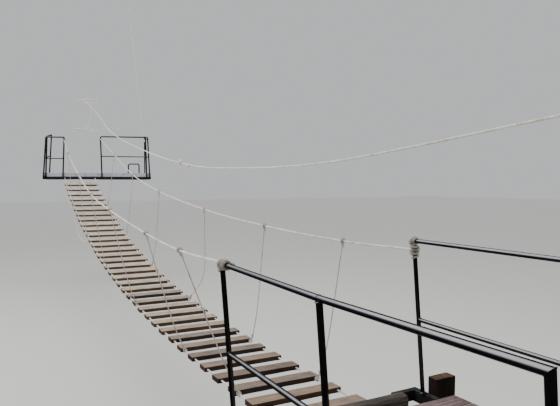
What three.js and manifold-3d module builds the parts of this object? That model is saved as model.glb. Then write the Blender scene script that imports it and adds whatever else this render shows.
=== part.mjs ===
import * as THREE from 'three';
import { mergeVertices } from 'three/addons/utils/BufferGeometryUtils.js';
import Module from 'manifold-3d';

// A rope suspension footbridge between a near timber landing and a far steel landing.
// Sizes are in millimetres. While it is drawn, x = 0 is the middle of the walkway,
// y = 0 is the front face of the near beam and z = 0 is the top of the near floor.

// Walkway
const PLANK_COUNT = 35;
const PLANK_LENGTH = 720;
const PLANK_WIDTH = 130;
const PLANK_THICKNESS = 40;
const PLANK_PITCH = 310;
const FIRST_PLANK_Y = 100;
// The walkway dips at first, then climbs to the far landing, and heads a little to the right.
const DIP = -0.0433;
const SAG_SQUARE = 1.048e-5;
const SAG_CUBE = 6.8e-10;
const WALKWAY_X = 9;
const WALKWAY_TURN = 1.36 * Math.PI / 180;
const FOOT_ROPE_X = 330;
const FOOT_ROPE_RADIUS = 8;
const ROPE_HOLE_RADIUS = 9;
const ROPE_SIDES = 8;
const STOP_KNOT_RADIUS = 21;
const ROPE_TAIL = 26;
// Past the last plank each foot rope levels out to pass through the far front bar.
const LAST_REACH = 25;
const LEVEL_REACH = 18;

// Handrails of rope
const HANDRAIL_RADIUS = 8;
const HANGER_RADIUS = 5;
const HANDRAIL_KNOT_RADIUS = 17;
const SLACK_PLANKS = [1, 5, 11];
const SLACK_DROPS = [85, 225];
const SLACK_RADIUS = 6;
const SLACK_START = 14;
const SLACK_CLEAR = 62;
const SLACK_SPREAD = 30;
const SLACK_PLACES = [0.2, 0.4, 0.6, 0.8];
const HANGER_PLANKS = [33, 29, 23, 17, 11, 5];
const HANGER_SETBACK = 90;
const LEFT_HANDRAIL = [[-701, 769, 1008], [-645, 1828, 1040], [-555, 3686, 1162], [-430, 5534, 1313],
  [-306, 7361, 1629], [-215, 9157, 2084]];
const RIGHT_HANDRAIL = [[568, 589, 1026], [521, 1828, 1064], [561, 3530, 1153], [597, 5534, 1348],
  [650, 7361, 1636], [714, 9157, 2086]];
const HANDRAIL_PARTS = 56;
// The hangers are a little slack and bow outwards below the middle.
const BOW_PLACE = 0.28;
const LEFT_BOWS = [12, 20, 20, 15, 10, 10];
const RIGHT_BOWS = [25, 20, 128, 20, 15, 10];
const HANGER_START = [13, 4];
const HANGER_BEND = [14, 30];
const FOOT_RING_LENGTH = 24;
const COLLAR_LENGTH = 56;
const COLLAR_WALL = 15;
const LEFT_LASH_Y = -176;
const RIGHT_LASH_Z = 983;
const FAR_LASH_DROP = 92;
// Where each handrail leaves its lashing.
const LEFT_LEAVE = [27, -90];
const RIGHT_LEAVE = [30, 60, 1026];
const FAR_LEAVE = [4, 55, 14];
const CLEARANCE = 0.4;
const CUT_THROUGH = 10;

// Near landing
const FLOOR_HALF_WIDTH = 960;
const FLOOR_FRONT_Y = -200;
const FLOOR_BACK_Y = -2300;
const FLOOR_THICKNESS = 30;
const FRAME_TOP_Z = -30.4;
const FRAME_SECTION = 50;
const FRAME_LEFT_X = -700;
const FRAME_RIGHT_X = 800;
const FRAME_CROSS_Y = [-260, -1250, -2260];
// At each front corner an upstand meets a short lip in front of the beam's end.
const UPSTAND_BACK_Y = -195;
const LIP_INNER_X = 600;
const LIP_DEPTH = 45;
const LIP_BOTTOM_Z = -75;
const BEAM_LEFT_X = -674.6;
const BEAM_RIGHT_X = 627;
const BEAM_DEPTH = 110;
const BEAM_TOP_Z = 30;
const BEAM_BOTTOM_Z = -100;
const BEARER_BOTTOM_Z = -180;
const BEARER_WIDTH = 60;
const RISER_HALF = 20;
const ARM_INSET = 5;
const REAR_RISER_Y = -2225;
const POST_WIDTH = 180;
const POST_DEPTH = 90;
const POST_INNER_X = 868;
const POST_TOP_Z = 98;
const POST_FOOT_Z = -1150;
const FRONT_POST_Y = -85;
const REAR_POST_Y = -2355;

// Pipe railings
const PIPE_RADIUS = 15;
const PIPE_SIDES = 12;
const MITRE_OVERLAP = 0.5;
const FLANGE_RADIUS = 30;
const FLANGE_THICKNESS = 8;
// Each railing's posts and its top rail's heights run from front to rear; the left top rail is
// two pipes that meet over the middle post.
const LEFT_POST_Y = [-150, -1122, -2130];
const LEFT_FOOT_X = -690;
const LEFT_TOP_X = -771;
const LEFT_TOP_Z = [1036, 1022, 1030];
const LEFT_MID_Z = [529, 489];
const RIGHT_POST_Y = [-80, -1220, -2120];
const RIGHT_FOOT_X = 781;
const RIGHT_TOP_X = 688;
const RIGHT_TOP_Z = [1083, 1083, 1083];
const RIGHT_MID_Z = [530, 521];

// Far landing, turned a little against the walkway
const FAR_ORIGIN = [299, 10697];
const FAR_TURN = -11 * Math.PI / 180;
const FAR_LEFT_U = -849;
const FAR_RIGHT_U = 1590;
const FAR_DEPTH = 1480;
const FAR_FRAME_BOTTOM_Z = 1569;
const FAR_FRAME_TOP_Z = 1630;
const FAR_DECK_TOP_Z = 1719;
const FAR_FRAME_BAR = 60;
const FAR_MIDDLE_BAR_U = 969;
const NOTCH_RADIUS = 388;
const NOTCH_V = 1026;
const NOTCH_PARTS = 14;
const FAR_POST_V = -18.5;
const FAR_BACK_TOP_Z = 2700;
const FAR_BACK_MID_Z = 2170;
const FAR_BACK_POST_V = 1380;
// Each far railing's posts, as u at the foot and at the top, and its front rails' heights.
const FAR_LEFT = {
  gate: [-410, -371],
  corner: [-778, -739],
  outer: [-830, -763],
  back: [-814, -745],
  topZ: [2541, 2541],
  midZ: 2049,
};
const FAR_RIGHT = {
  gate: [456, 430],
  corner: [1489, 1466],
  outer: [1564, 1515],
  back: [1552, 1552],
  topZ: [2575, 2585],
  midZ: 2111,
};
const FAR_PIPE_RADIUS = 17;
const FAR_ELBOW = 30;
const FAR_MID_RADIUS = 12.5;
const FAR_FOOT_RISE = 2;
const SPACER_DROP = 45;
const ROPE_END_Z = 1597;
const BORE_START = 40;
const HOOP_U = [1129, 1403];
const HOOP_HEIGHT = 264;
const HOOP_BEND = 50;

// Stay, slings and life line
const LINE_RADIUS = 7;
const SLING_RADIUS = 317;
const SLING_CENTRE = [640, 11700];
const LOW_SLING_Z = 2835;
const HIGH_SLING_Z = 3543;
const KNOT_TURN = -29 * Math.PI / 180;
const SLING_HALF = 14;
const SLING_SIDES = 28;
const STAY_TOP = [1720, 11951, 6519];
// From the stay's foot on the railing: where it starts, bends and takes the tie rope.
const STAY_FOOT_DROP = 130;
const STAY_START_Z = 30;
const STAY_BEND = [-25, 39, 210];
const STAY_TIE = [-46, 48];
const TIE_RISE = 105;
const TIE_RING = 60;
const TIE_RING_HALF = 16;
const TIE_SAG = 12;
const TIE_WALL = 10;
const TIE_PARTS = 12;
// From the slings' centre: places on the link between the two slings, as x and part of the radius.
const LINK_LOW = [-120, 0.92];
const LINK_MIDDLE = [30, 12];
const LINK_HIGH = [-60, 0.98];
const EYE_RADIUS = 42;
const EYE_ROPE_RADIUS = 8.2;
const EYE_PARTS = 12;
const LIFE_LINE = [[458, 9814, 3068], [399, 7854, 2427], [323, 5359, 1967], [260, 3266, 1695],
  [214, 1734, 1619], [166, 178, 1624], [114, -1550, 1754], [100, -2020, 1800]];
const LIFE_LINE_PARTS = 72;
const LIFE_EYE_RISE = 4;
const LINE_KNOT = [268, 3546, 1737];
const LINE_KNOT_RADIUS = 33;
const LINE_TAIL = [[268, 3546, 1737], [255, 3560, 1668], [236, 3572, 1612]];

// The part's origin is the middle of the foot of the near left front post.
const ORIGIN = [-(POST_INNER_X + POST_WIDTH / 2), FRONT_POST_Y, POST_FOOT_Z];

const wasm = await Module();
wasm.setup();

const COLOURS = {
  plank: 0x9a8468,
  rope: 0xd8d0bc,
  pipe: 0x1b1c1e,
  steel: 0x2a2c2e,
  beam: 0x7a6f58,
  board: 0x7d5443,
  timber: 0x5a4334,
  deck: 0xb9bab4,
};

const root = new THREE.Group();
root.name = 'rope_footbridge';

// Helpers

function vector(p) {
  return p.isVector3 ? p.clone() : new THREE.Vector3(p[0], p[1], p[2]);
}

function solid(geometry) {
  const bare = geometry.clone();
  bare.deleteAttribute('normal');
  bare.deleteAttribute('uv');
  const merged = mergeVertices(bare, 1e-3);
  const index = merged.index.array;
  return new wasm.Manifold(new wasm.Mesh({
    numProp: 3,
    vertProperties: new Float32Array(merged.attributes.position.array),
    triVerts: new Uint32Array(index),
  }));
}

function geometryOf(body) {
  const mesh = body.getMesh();
  const geometry = new THREE.BufferGeometry();
  geometry.setAttribute('position', new THREE.BufferAttribute(new Float32Array(mesh.vertProperties), 3));
  geometry.setIndex(new THREE.BufferAttribute(new Uint32Array(mesh.triVerts), 1));
  return geometry;
}

function join(geometries) {
  return geometryOf(geometries.map(solid).reduce((sum, next) => sum.add(next)));
}

function cut(geometry, tools) {
  return geometryOf(tools.map(solid).reduce((rest, tool) => rest.subtract(tool), solid(geometry)));
}

function add(name, geometry, colour) {
  geometry.translate(-ORIGIN[0], -ORIGIN[1], -ORIGIN[2]);
  const flat = geometry.index ? geometry.toNonIndexed() : geometry;
  flat.computeVertexNormals();
  const material = new THREE.MeshStandardMaterial({ color: COLOURS[colour], name: `${name}_${colour}` });
  const mesh = new THREE.Mesh(flat, material);
  mesh.name = name;
  root.add(mesh);
}

function box(x0, x1, y0, y1, z0, z1) {
  const geometry = new THREE.BoxGeometry(x1 - x0, y1 - y0, z1 - z0);
  geometry.translate((x0 + x1) / 2, (y0 + y1) / 2, (z0 + z1) / 2);
  return geometry;
}

// A route that a section follows point by point.
class Route extends THREE.Curve {
  constructor(points) {
    super();
    this.points = points.map(vector);
  }

  getPoint(t) {
    const last = this.points.length - 1;
    const place = Math.min(Math.max(t, 0), 1) * last;
    const low = Math.min(Math.floor(place + 1e-9), last - 1);
    return this.points[low].clone().lerp(this.points[low + 1], place - low);
  }

  getPointAt(u) {
    return this.getPoint(u);
  }

  getTangentAt(u) {
    const last = this.points.length - 1;
    const here = Math.round(u * last);
    const ahead = this.points[Math.min(here + 1, last)];
    const behind = this.points[Math.max(here - 1, 0)];
    return ahead.clone().sub(behind).normalize();
  }
}

function roundSection(radius, sides) {
  const corners = [];
  for (let i = 0; i < sides; i += 1) {
    const angle = (i + 0.5) * 2 * Math.PI / sides;
    corners.push(new THREE.Vector2(radius * Math.cos(angle), radius * Math.sin(angle)));
  }
  return new THREE.Shape(corners);
}

function tube(points, radius, sides) {
  const route = new Route(points);
  return new THREE.ExtrudeGeometry(roundSection(radius, sides), {
    steps: points.length - 1,
    extrudePath: route,
    bevelEnabled: false,
  });
}

// Points along a bent pipe, with each inner corner rounded.
function bent(points, radius, parts = 4) {
  const corners = points.map(vector);
  const route = [corners[0]];
  for (let i = 1; i < corners.length - 1; i += 1) {
    const before = corners[i - 1].clone().sub(corners[i]).setLength(radius).add(corners[i]);
    const after = corners[i + 1].clone().sub(corners[i]).setLength(radius).add(corners[i]);
    const turn = new THREE.QuadraticBezierCurve3(before, corners[i], after);
    route.push(...turn.getPoints(parts));
  }
  route.push(corners[corners.length - 1]);
  return route;
}

// A pipe whose corners are cut and welded on the mitre.
function mitred(points, radius) {
  const corners = points.map(vector);
  const last = corners.length - 1;
  const legs = corners.slice(1).map((end, i) => {
    const start = corners[i];
    const ahead = end.clone().sub(start).normalize();
    const from = i > 0 ? start.clone().addScaledVector(ahead, -2 * radius) : start;
    const to = i + 1 < last ? end.clone().addScaledVector(ahead, 2 * radius) : end;
    let leg = solid(tube([from, to], radius, PIPE_SIDES));
    if (i > 0) {
      const normal = start.clone().sub(corners[i - 1]).normalize().add(ahead).normalize();
      leg = leg.trimByPlane(normal.toArray(), normal.dot(start) - MITRE_OVERLAP);
    }
    if (i + 1 < last) {
      const normal = corners[i + 2].clone().sub(end).normalize().add(ahead).normalize().negate();
      leg = leg.trimByPlane(normal.toArray(), normal.dot(end) - MITRE_OVERLAP);
    }
    return leg;
  });
  return geometryOf(legs.reduce((sum, next) => sum.add(next)));
}

function smooth(points, parts) {
  return new THREE.CatmullRomCurve3(points.map(vector), false, 'centripetal').getSpacedPoints(parts);
}

function ball(centre, radius) {
  const geometry = new THREE.SphereGeometry(radius, 8, 6);
  geometry.translate(...vector(centre).toArray());
  return geometry;
}

// A hollow sleeve round a pipe or rope, from one point to another.
function sleeve(from, to, inner, outer) {
  const start = vector(from);
  const axis = vector(to).sub(start);
  const length = axis.length();
  const hole = inner / Math.cos(Math.PI / PIPE_SIDES);
  const profile = [[hole, 0], [outer, 0], [outer, length], [hole, length], [hole, 0]];
  const geometry = new THREE.LatheGeometry(profile.map((p) => new THREE.Vector2(...p)), PIPE_SIDES);
  const turn = new THREE.Quaternion().setFromUnitVectors(new THREE.Vector3(0, 1, 0), axis.normalize());
  geometry.applyQuaternion(turn);
  geometry.translate(start.x, start.y, start.z);
  return geometry;
}

function flange(x, y, z) {
  const geometry = new THREE.CylinderGeometry(FLANGE_RADIUS, FLANGE_RADIUS, FLANGE_THICKNESS, PIPE_SIDES);
  geometry.rotateX(Math.PI / 2);
  geometry.translate(x, y, z + FLANGE_THICKNESS / 2);
  return geometry;
}

function mix(a, b, t) {
  return a + (b - a) * t;
}

// Walkway: planks threaded on two foot ropes

function deckTop(y) {
  return y > 0 ? DIP * y + SAG_SQUARE * y * y + SAG_CUBE * y * y * y : 0;
}

function deckSlope(y) {
  return y > 0 ? DIP + 2 * SAG_SQUARE * y + 3 * SAG_CUBE * y * y : 0;
}

function ropeHeight(y) {
  return deckTop(y) - PLANK_THICKNESS / 2;
}

// A place on the walkway: x from its middle, y along it.
function onWalkway(x, y, z) {
  const c = Math.cos(WALKWAY_TURN);
  const s = Math.sin(WALKWAY_TURN);
  return new THREE.Vector3(WALKWAY_X + x * c + y * s, y * c - x * s, z);
}

// Plank 35 is nearest to the near landing, plank 1 to the far one.
const plankY = {};
let walk = FIRST_PLANK_Y;
for (let number = PLANK_COUNT; number >= 1; number -= 1) {
  plankY[number] = walk;
  walk += PLANK_PITCH / Math.hypot(1, deckSlope(walk + PLANK_PITCH / 2));
}

function hole(x) {
  const outline = new THREE.Path();
  roundSection(ROPE_HOLE_RADIUS, PIPE_SIDES).getPoints().forEach((p, i) => {
    if (i === 0) {
      outline.moveTo(x + p.x, p.y);
    } else {
      outline.lineTo(x + p.x, p.y);
    }
  });
  return outline;
}

function plank() {
  const half = PLANK_LENGTH / 2;
  const thick = PLANK_THICKNESS / 2;
  const shape = new THREE.Shape();
  shape.moveTo(-half, -thick);
  shape.lineTo(half, -thick);
  shape.lineTo(half, thick);
  shape.lineTo(-half, thick);
  shape.holes.push(hole(-FOOT_ROPE_X), hole(FOOT_ROPE_X));
  const geometry = new THREE.ExtrudeGeometry(shape, { depth: PLANK_WIDTH, bevelEnabled: false });
  geometry.translate(0, 0, -PLANK_WIDTH / 2);
  geometry.rotateX(Math.PI / 2);
  return geometry;
}

for (let number = 1; number <= PLANK_COUNT; number += 1) {
  const y = plankY[number];
  const geometry = plank();
  const middle = onWalkway(0, y, ropeHeight(y));
  geometry.rotateX(Math.atan(deckSlope(y)));
  geometry.rotateZ(-WALKWAY_TURN);
  geometry.translate(middle.x, middle.y, middle.z);
  add(`slat_${String(number).padStart(2, '0')}`, geometry, 'plank');
}

function farPoint(u, v, z) {
  const x = FAR_ORIGIN[0] + u * Math.cos(FAR_TURN) - v * Math.sin(FAR_TURN);
  const y = FAR_ORIGIN[1] + u * Math.sin(FAR_TURN) + v * Math.cos(FAR_TURN);
  return new THREE.Vector3(x, y, z);
}

// A leaning far post's u at a height, from its u at the foot and at the top.
function leaningU([footU, topU], z, topZ) {
  return mix(footU, topU, (z - FAR_FRAME_BOTTOM_Z) / (topZ - FAR_FRAME_BOTTOM_Z));
}

// Each foot rope meets the far front bar, where it runs level through it.
function farHole(side) {
  const x = side * FOOT_ROPE_X;
  const c = Math.cos(WALKWAY_TURN);
  const s = Math.sin(WALKWAY_TURN);
  const across = (WALKWAY_X + x * c - FAR_ORIGIN[0]) * Math.sin(FAR_TURN);
  const deep = (x * s + FAR_ORIGIN[1]) * Math.cos(FAR_TURN);
  const front = onWalkway(x, (across + deep) / Math.cos(WALKWAY_TURN + FAR_TURN), ROPE_END_Z);
  const y = plankY[1];
  const reach = PLANK_WIDTH / 2 + LAST_REACH;
  const start = onWalkway(x, y + reach, ropeHeight(y) + reach * deckSlope(y));
  const level = front.clone().add(new THREE.Vector3(0, -LEVEL_REACH, 0));
  const behind = FAR_FRAME_BAR + STOP_KNOT_RADIUS + FOOT_ROPE_RADIUS;
  const knot = front.clone().add(new THREE.Vector3(0, behind, 0));
  return { start, level, front, knot };
}

// The rope is straight inside each plank.
function footRope(side) {
  const x = side * FOOT_ROPE_X;
  const points = [
    [WALKWAY_X + x, -BEAM_DEPTH - ROPE_TAIL, ropeHeight(0)],
    [WALKWAY_X + x, 0, ropeHeight(0)],
  ];
  for (let number = PLANK_COUNT; number >= 1; number -= 1) {
    const y = plankY[number];
    const reach = PLANK_WIDTH / 2;
    const rise = deckSlope(y) * reach;
    points.push(onWalkway(x, y - reach, ropeHeight(y) - rise));
    points.push(onWalkway(x, y + reach, ropeHeight(y) + rise));
  }
  const end = farHole(side);
  points.push(end.start, end.level, end.front, end.knot);
  const near = [WALKWAY_X + x, -BEAM_DEPTH - STOP_KNOT_RADIUS - CLEARANCE, ropeHeight(0)];
  return join([
    tube(points, FOOT_ROPE_RADIUS, ROPE_SIDES),
    ball(near, STOP_KNOT_RADIUS),
    ball(end.knot, STOP_KNOT_RADIUS),
  ]);
}

add('foot_rope_left', footRope(-1), 'rope');
add('foot_rope_right', footRope(1), 'rope');

// Handrail nets: handrail, hangers and the sleeves that hold them

function footRing(side, number) {
  const y = plankY[number] - HANGER_SETBACK;
  const x = side * FOOT_ROPE_X;
  const slope = deckSlope(y);
  const half = FOOT_RING_LENGTH / 2;
  const from = onWalkway(x, y - half, ropeHeight(y) - half * slope);
  const to = onWalkway(x, y + half, ropeHeight(y) + half * slope);
  const inner = FOOT_ROPE_RADIUS + CLEARANCE;
  return { x, y, slope, ring: sleeve(from, to, inner, inner + 2 * HANGER_RADIUS) };
}

// A slack rope that hangs under the planks between two rings on the foot rope.
function slackRope(side, farNumber, nearNumber, drop) {
  const ends = [farNumber, nearNumber].map((number) => {
    const { x, y, slope } = footRing(side, number);
    const down = new THREE.Vector3(0, slope, -1).normalize();
    const middle = onWalkway(x, y, ropeHeight(y));
    return {
      tied: middle.clone().addScaledVector(down, SLACK_START),
      low: middle.clone().addScaledVector(down, SLACK_CLEAR),
    };
  });
  const line = SLACK_PLACES.map((t) => {
    const point = ends[0].low.clone().lerp(ends[1].low, t);
    return point.add(new THREE.Vector3(side * SLACK_SPREAD, 0, -4 * drop * t * (1 - t)));
  });
  const points = [ends[0].tied, ends[0].low, ...line, ends[1].low, ends[1].tied];
  return tube(points, SLACK_RADIUS, ROPE_SIDES);
}

function handrailNet(side, stations, bows, nearCollar, farCollar, extras = []) {
  const rail = smooth([nearCollar.leave, ...stations, farCollar.leave], HANDRAIL_PARTS);
  const parts = [
    tube([nearCollar.start, ...rail, farCollar.start], HANDRAIL_RADIUS, ROPE_SIDES),
    nearCollar.sleeve,
    farCollar.sleeve,
  ];
  HANGER_PLANKS.forEach((number, i) => {
    const { x, y, ring } = footRing(side, number);
    const low = onWalkway(x + side * HANGER_START[0], y, ropeHeight(y) + HANGER_START[1]);
    const bend = onWalkway(side * (PLANK_LENGTH / 2 + HANGER_BEND[0]), y, ropeHeight(y) + HANGER_BEND[1]);
    const away = (p) => Math.abs(p.y - stations[i][1]);
    const top = rail.reduce((best, p) => (away(p) < away(best) ? p : best));
    const bow = bend.clone().lerp(top, BOW_PLACE).add(new THREE.Vector3(side * bows[i], 0, 0));
    parts.push(ring, ball(top, HANDRAIL_KNOT_RADIUS));
    parts.push(tube([low, bend, bow, top], HANGER_RADIUS, ROPE_SIDES));
  });
  return join([...parts, ...extras]);
}

// A lashing round a pipe: the rope starts inside its wall and leaves beside the pipe.
function lashing(from, to, pipeRadius, sideways, leave) {
  const inner = pipeRadius + CLEARANCE;
  const a = vector(from);
  const b = vector(to);
  const start = a.clone().lerp(b, 0.5).addScaledVector(vector(sideways), inner + HANDRAIL_RADIUS);
  return { sleeve: sleeve(a, b, inner, inner + COLLAR_WALL), start, leave: vector(leave) };
}

// On the left the lashing sits on the falling top rail just behind the corner.
const leftFall = (LEFT_TOP_Z[0] - LEFT_TOP_Z[1]) / (LEFT_POST_Y[0] - LEFT_POST_Y[1]);
const leftRailZ = (y) => LEFT_TOP_Z[0] - leftFall * (LEFT_POST_Y[0] - y);
const leftLash = lashing(
  [LEFT_TOP_X, LEFT_LASH_Y, leftRailZ(LEFT_LASH_Y)],
  [LEFT_TOP_X, LEFT_LASH_Y - COLLAR_LENGTH, leftRailZ(LEFT_LASH_Y - COLLAR_LENGTH)],
  PIPE_RADIUS,
  [1, 0, 0],
  [LEFT_TOP_X + LEFT_LEAVE[0], LEFT_LEAVE[1], LEFT_TOP_Z[0]],
);
// On the right it sits on the corner post.
const rightX = (z) => mix(RIGHT_FOOT_X, RIGHT_TOP_X, z / RIGHT_TOP_Z[0]);
const rightHighZ = RIGHT_LASH_Z + COLLAR_LENGTH;
const rightLash = lashing(
  [rightX(RIGHT_LASH_Z), RIGHT_POST_Y[0], RIGHT_LASH_Z],
  [rightX(rightHighZ), RIGHT_POST_Y[0], rightHighZ],
  PIPE_RADIUS,
  [-1, 0, 0],
  [rightX(RIGHT_LEAVE[2]) - RIGHT_LEAVE[0], RIGHT_POST_Y[0] + RIGHT_LEAVE[1], RIGHT_LEAVE[2]],
);

function farLash({ gate, topZ }, side) {
  const z = topZ[0] - FAR_LASH_DROP;
  const low = farPoint(leaningU(gate, z, topZ[0]), FAR_POST_V, z);
  const high = farPoint(leaningU(gate, z + COLLAR_LENGTH, topZ[0]), FAR_POST_V, z + COLLAR_LENGTH);
  const leave = farPoint(leaningU(gate, z, topZ[0]), FAR_POST_V, z + FAR_LEAVE[2]);
  leave.add(vector([side * FAR_LEAVE[0], -FAR_LEAVE[1], 0]));
  return lashing(low, high, FAR_PIPE_RADIUS, [0, -1, 0], leave);
}

const slackRopes = [
  footRing(-1, SLACK_PLANKS[0]).ring,
  slackRope(-1, SLACK_PLANKS[0], SLACK_PLANKS[1], SLACK_DROPS[0]),
  slackRope(-1, SLACK_PLANKS[1], SLACK_PLANKS[2], SLACK_DROPS[1]),
];
const leftFarLash = farLash(FAR_LEFT, -1);
const rightFarLash = farLash(FAR_RIGHT, 1);
const leftNet = handrailNet(-1, LEFT_HANDRAIL, LEFT_BOWS, leftLash, leftFarLash, slackRopes);
const rightNet = handrailNet(1, RIGHT_HANDRAIL, RIGHT_BOWS, rightLash, rightFarLash);
add('handrail_net_left', leftNet, 'rope');
add('handrail_net_right', rightNet, 'rope');

// Near landing

function bearer(y) {
  const half = BEARER_WIDTH / 2;
  const reach = POST_INNER_X - CLEARANCE;
  return box(-reach, reach, y - half, y + half, BEARER_BOTTOM_Z, BEAM_BOTTOM_Z - CLEARANCE);
}

// The rear bearer reaches back beside each rear post.
function rearArm(side) {
  const outer = side * (POST_INNER_X - CLEARANCE);
  const inner = side * (POST_INNER_X - BEARER_WIDTH);
  const [low, high] = [Math.min(inner, outer), Math.max(inner, outer)];
  const back = REAR_POST_Y - RISER_HALF;
  return box(low, high, back, REAR_RISER_Y, BEARER_BOTTOM_Z + ARM_INSET, BEAM_BOTTOM_Z - ARM_INSET);
}

const sideBottom = FRAME_TOP_Z - FRAME_SECTION;
const halfBar = FRAME_SECTION / 2;

// An open bay of the frame, cut right through its depth.
function frameBay(x0, x1, y0, y1) {
  return box(x0, x1, y0, y1, sideBottom - CUT_THROUGH, FRAME_TOP_Z + CUT_THROUGH);
}

const leftInside = FRAME_LEFT_X + halfBar;
const rightInside = FRAME_RIGHT_X - halfBar;
const frameBays = FRAME_CROSS_Y.slice(1).flatMap((y, i) => [
  frameBay(leftInside, -halfBar, y + FRAME_SECTION, FRAME_CROSS_Y[i]),
  frameBay(halfBar, rightInside, y + FRAME_SECTION, FRAME_CROSS_Y[i]),
]);
const frontBay = frameBay(leftInside, rightInside, FRAME_CROSS_Y[0] + FRAME_SECTION, CUT_THROUGH);
const frameLeft = FRAME_LEFT_X - halfBar;
const frameRight = FRAME_RIGHT_X + halfBar;
const frameBlock = box(frameLeft, frameRight, FRAME_CROSS_Y[2], 0, sideBottom, FRAME_TOP_Z);
const grid = cut(frameBlock, [...frameBays, frontBay]);

function riser(x, y) {
  const h = RISER_HALF;
  return box(x - h, x + h, y - h, y + h, BEARER_BOTTOM_Z + h, sideBottom + h);
}

const risers = [
  riser(FRAME_LEFT_X, FRONT_POST_Y),
  riser(FRAME_LEFT_X, REAR_RISER_Y),
  riser(FRAME_RIGHT_X, FRONT_POST_Y),
  riser(FRAME_RIGHT_X, REAR_RISER_Y),
];
const corners = [
  box(frameLeft, leftInside, UPSTAND_BACK_Y, LIP_DEPTH, sideBottom, 0),
  box(rightInside, frameRight, UPSTAND_BACK_Y, LIP_DEPTH, sideBottom, 0),
  box(frameLeft, -LIP_INNER_X, CLEARANCE, LIP_DEPTH, LIP_BOTTOM_Z, 0),
  box(LIP_INNER_X, frameRight, CLEARANCE, LIP_DEPTH, LIP_BOTTOM_Z, 0),
];
const bearers = [bearer(FRONT_POST_Y), bearer(REAR_RISER_Y), rearArm(-1), rearArm(1)];
add('near_frame', join([grid, ...corners, ...risers, ...bearers]), 'steel');

const floor = box(-FLOOR_HALF_WIDTH, FLOOR_HALF_WIDTH, FLOOR_BACK_Y, FLOOR_FRONT_Y, -FLOOR_THICKNESS, 0);
add('near_floor', floor, 'board');

const beamHoles = [-1, 1].map((side) => {
  const x = WALKWAY_X + side * FOOT_ROPE_X;
  const back = [x, -BEAM_DEPTH - CUT_THROUGH, ropeHeight(0)];
  return tube([back, [x, CUT_THROUGH, ropeHeight(0)]], ROPE_HOLE_RADIUS, PIPE_SIDES);
});
const beam = box(BEAM_LEFT_X, BEAM_RIGHT_X, -BEAM_DEPTH, 0, BEAM_BOTTOM_Z, BEAM_TOP_Z);
add('near_front_beam', cut(beam, beamHoles), 'beam');

function timberPost(side, y) {
  const inner = side * POST_INNER_X;
  const outer = side * (POST_INNER_X + POST_WIDTH);
  const [low, high] = [Math.min(inner, outer), Math.max(inner, outer)];
  return box(low, high, y - POST_DEPTH / 2, y + POST_DEPTH / 2, POST_FOOT_Z, POST_TOP_Z);
}

add('near_post_front_left', timberPost(-1, FRONT_POST_Y), 'timber');
add('near_post_front_right', timberPost(1, FRONT_POST_Y), 'timber');
add('near_post_rear_left', timberPost(-1, REAR_POST_Y), 'timber');
add('near_post_rear_right', timberPost(1, REAR_POST_Y), 'timber');

// A railing leans a little; its front post stands on the frame, the others on the floor.
function nearRailing(footX, topX, topZ, midZ, postY) {
  const seat = CLEARANCE;
  const foot = seat + FLANGE_THICKNESS / 2;
  const [frontZ, middleZ, rearZ] = topZ;
  const leanX = (z) => mix(footX, topX, z / frontZ);
  const [first, middle, last] = postY;
  const over = middleZ === frontZ ? [] : [[topX, middle, middleZ]];
  const loop = mitred([
    [leanX(foot), first, foot],
    [topX, first, frontZ],
    ...over,
    [topX, last, rearZ],
    [leanX(foot), last, foot],
  ], PIPE_RADIUS);
  const middlePost = tube([[leanX(foot), middle, foot], [topX, middle, middleZ]], PIPE_RADIUS, PIPE_SIDES);
  const midEnds = [[leanX(midZ[0]), first, midZ[0]], [leanX(midZ[1]), last, midZ[1]]];
  const midRail = tube(midEnds, PIPE_RADIUS, PIPE_SIDES);
  return join([loop, middlePost, midRail, ...postY.map((y) => flange(leanX(seat), y, seat))]);
}

const leftRailing = nearRailing(LEFT_FOOT_X, LEFT_TOP_X, LEFT_TOP_Z, LEFT_MID_Z, LEFT_POST_Y);
const rightRailing = nearRailing(RIGHT_FOOT_X, RIGHT_TOP_X, RIGHT_TOP_Z, RIGHT_MID_Z, RIGHT_POST_Y);
add('near_railing_left', leftRailing, 'pipe');
add('near_railing_right', rightRailing, 'pipe');

// Far landing

function farOutline() {
  const shape = new THREE.Shape();
  shape.moveTo(FAR_LEFT_U, 0);
  shape.lineTo(FAR_RIGHT_U, 0);
  shape.lineTo(FAR_RIGHT_U, FAR_DEPTH);
  shape.lineTo(NOTCH_RADIUS, FAR_DEPTH);
  for (let i = 0; i <= NOTCH_PARTS; i += 1) {
    const angle = -Math.PI * i / NOTCH_PARTS;
    shape.lineTo(NOTCH_RADIUS * Math.cos(angle), NOTCH_V + NOTCH_RADIUS * Math.sin(angle));
  }
  shape.lineTo(-NOTCH_RADIUS, FAR_DEPTH);
  shape.lineTo(FAR_LEFT_U, FAR_DEPTH);
  return shape;
}

function farSlab(shape, bottom, top) {
  const geometry = new THREE.ExtrudeGeometry(shape, { depth: top - bottom, bevelEnabled: false });
  geometry.rotateZ(FAR_TURN);
  geometry.translate(FAR_ORIGIN[0], FAR_ORIGIN[1], bottom);
  return geometry;
}

function farBlock(u0, u1, v0, v1, bottom, top) {
  const geometry = box(u0, u1, v0, v1, bottom, top);
  geometry.rotateZ(FAR_TURN);
  geometry.translate(FAR_ORIGIN[0], FAR_ORIGIN[1], 0);
  return geometry;
}

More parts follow.
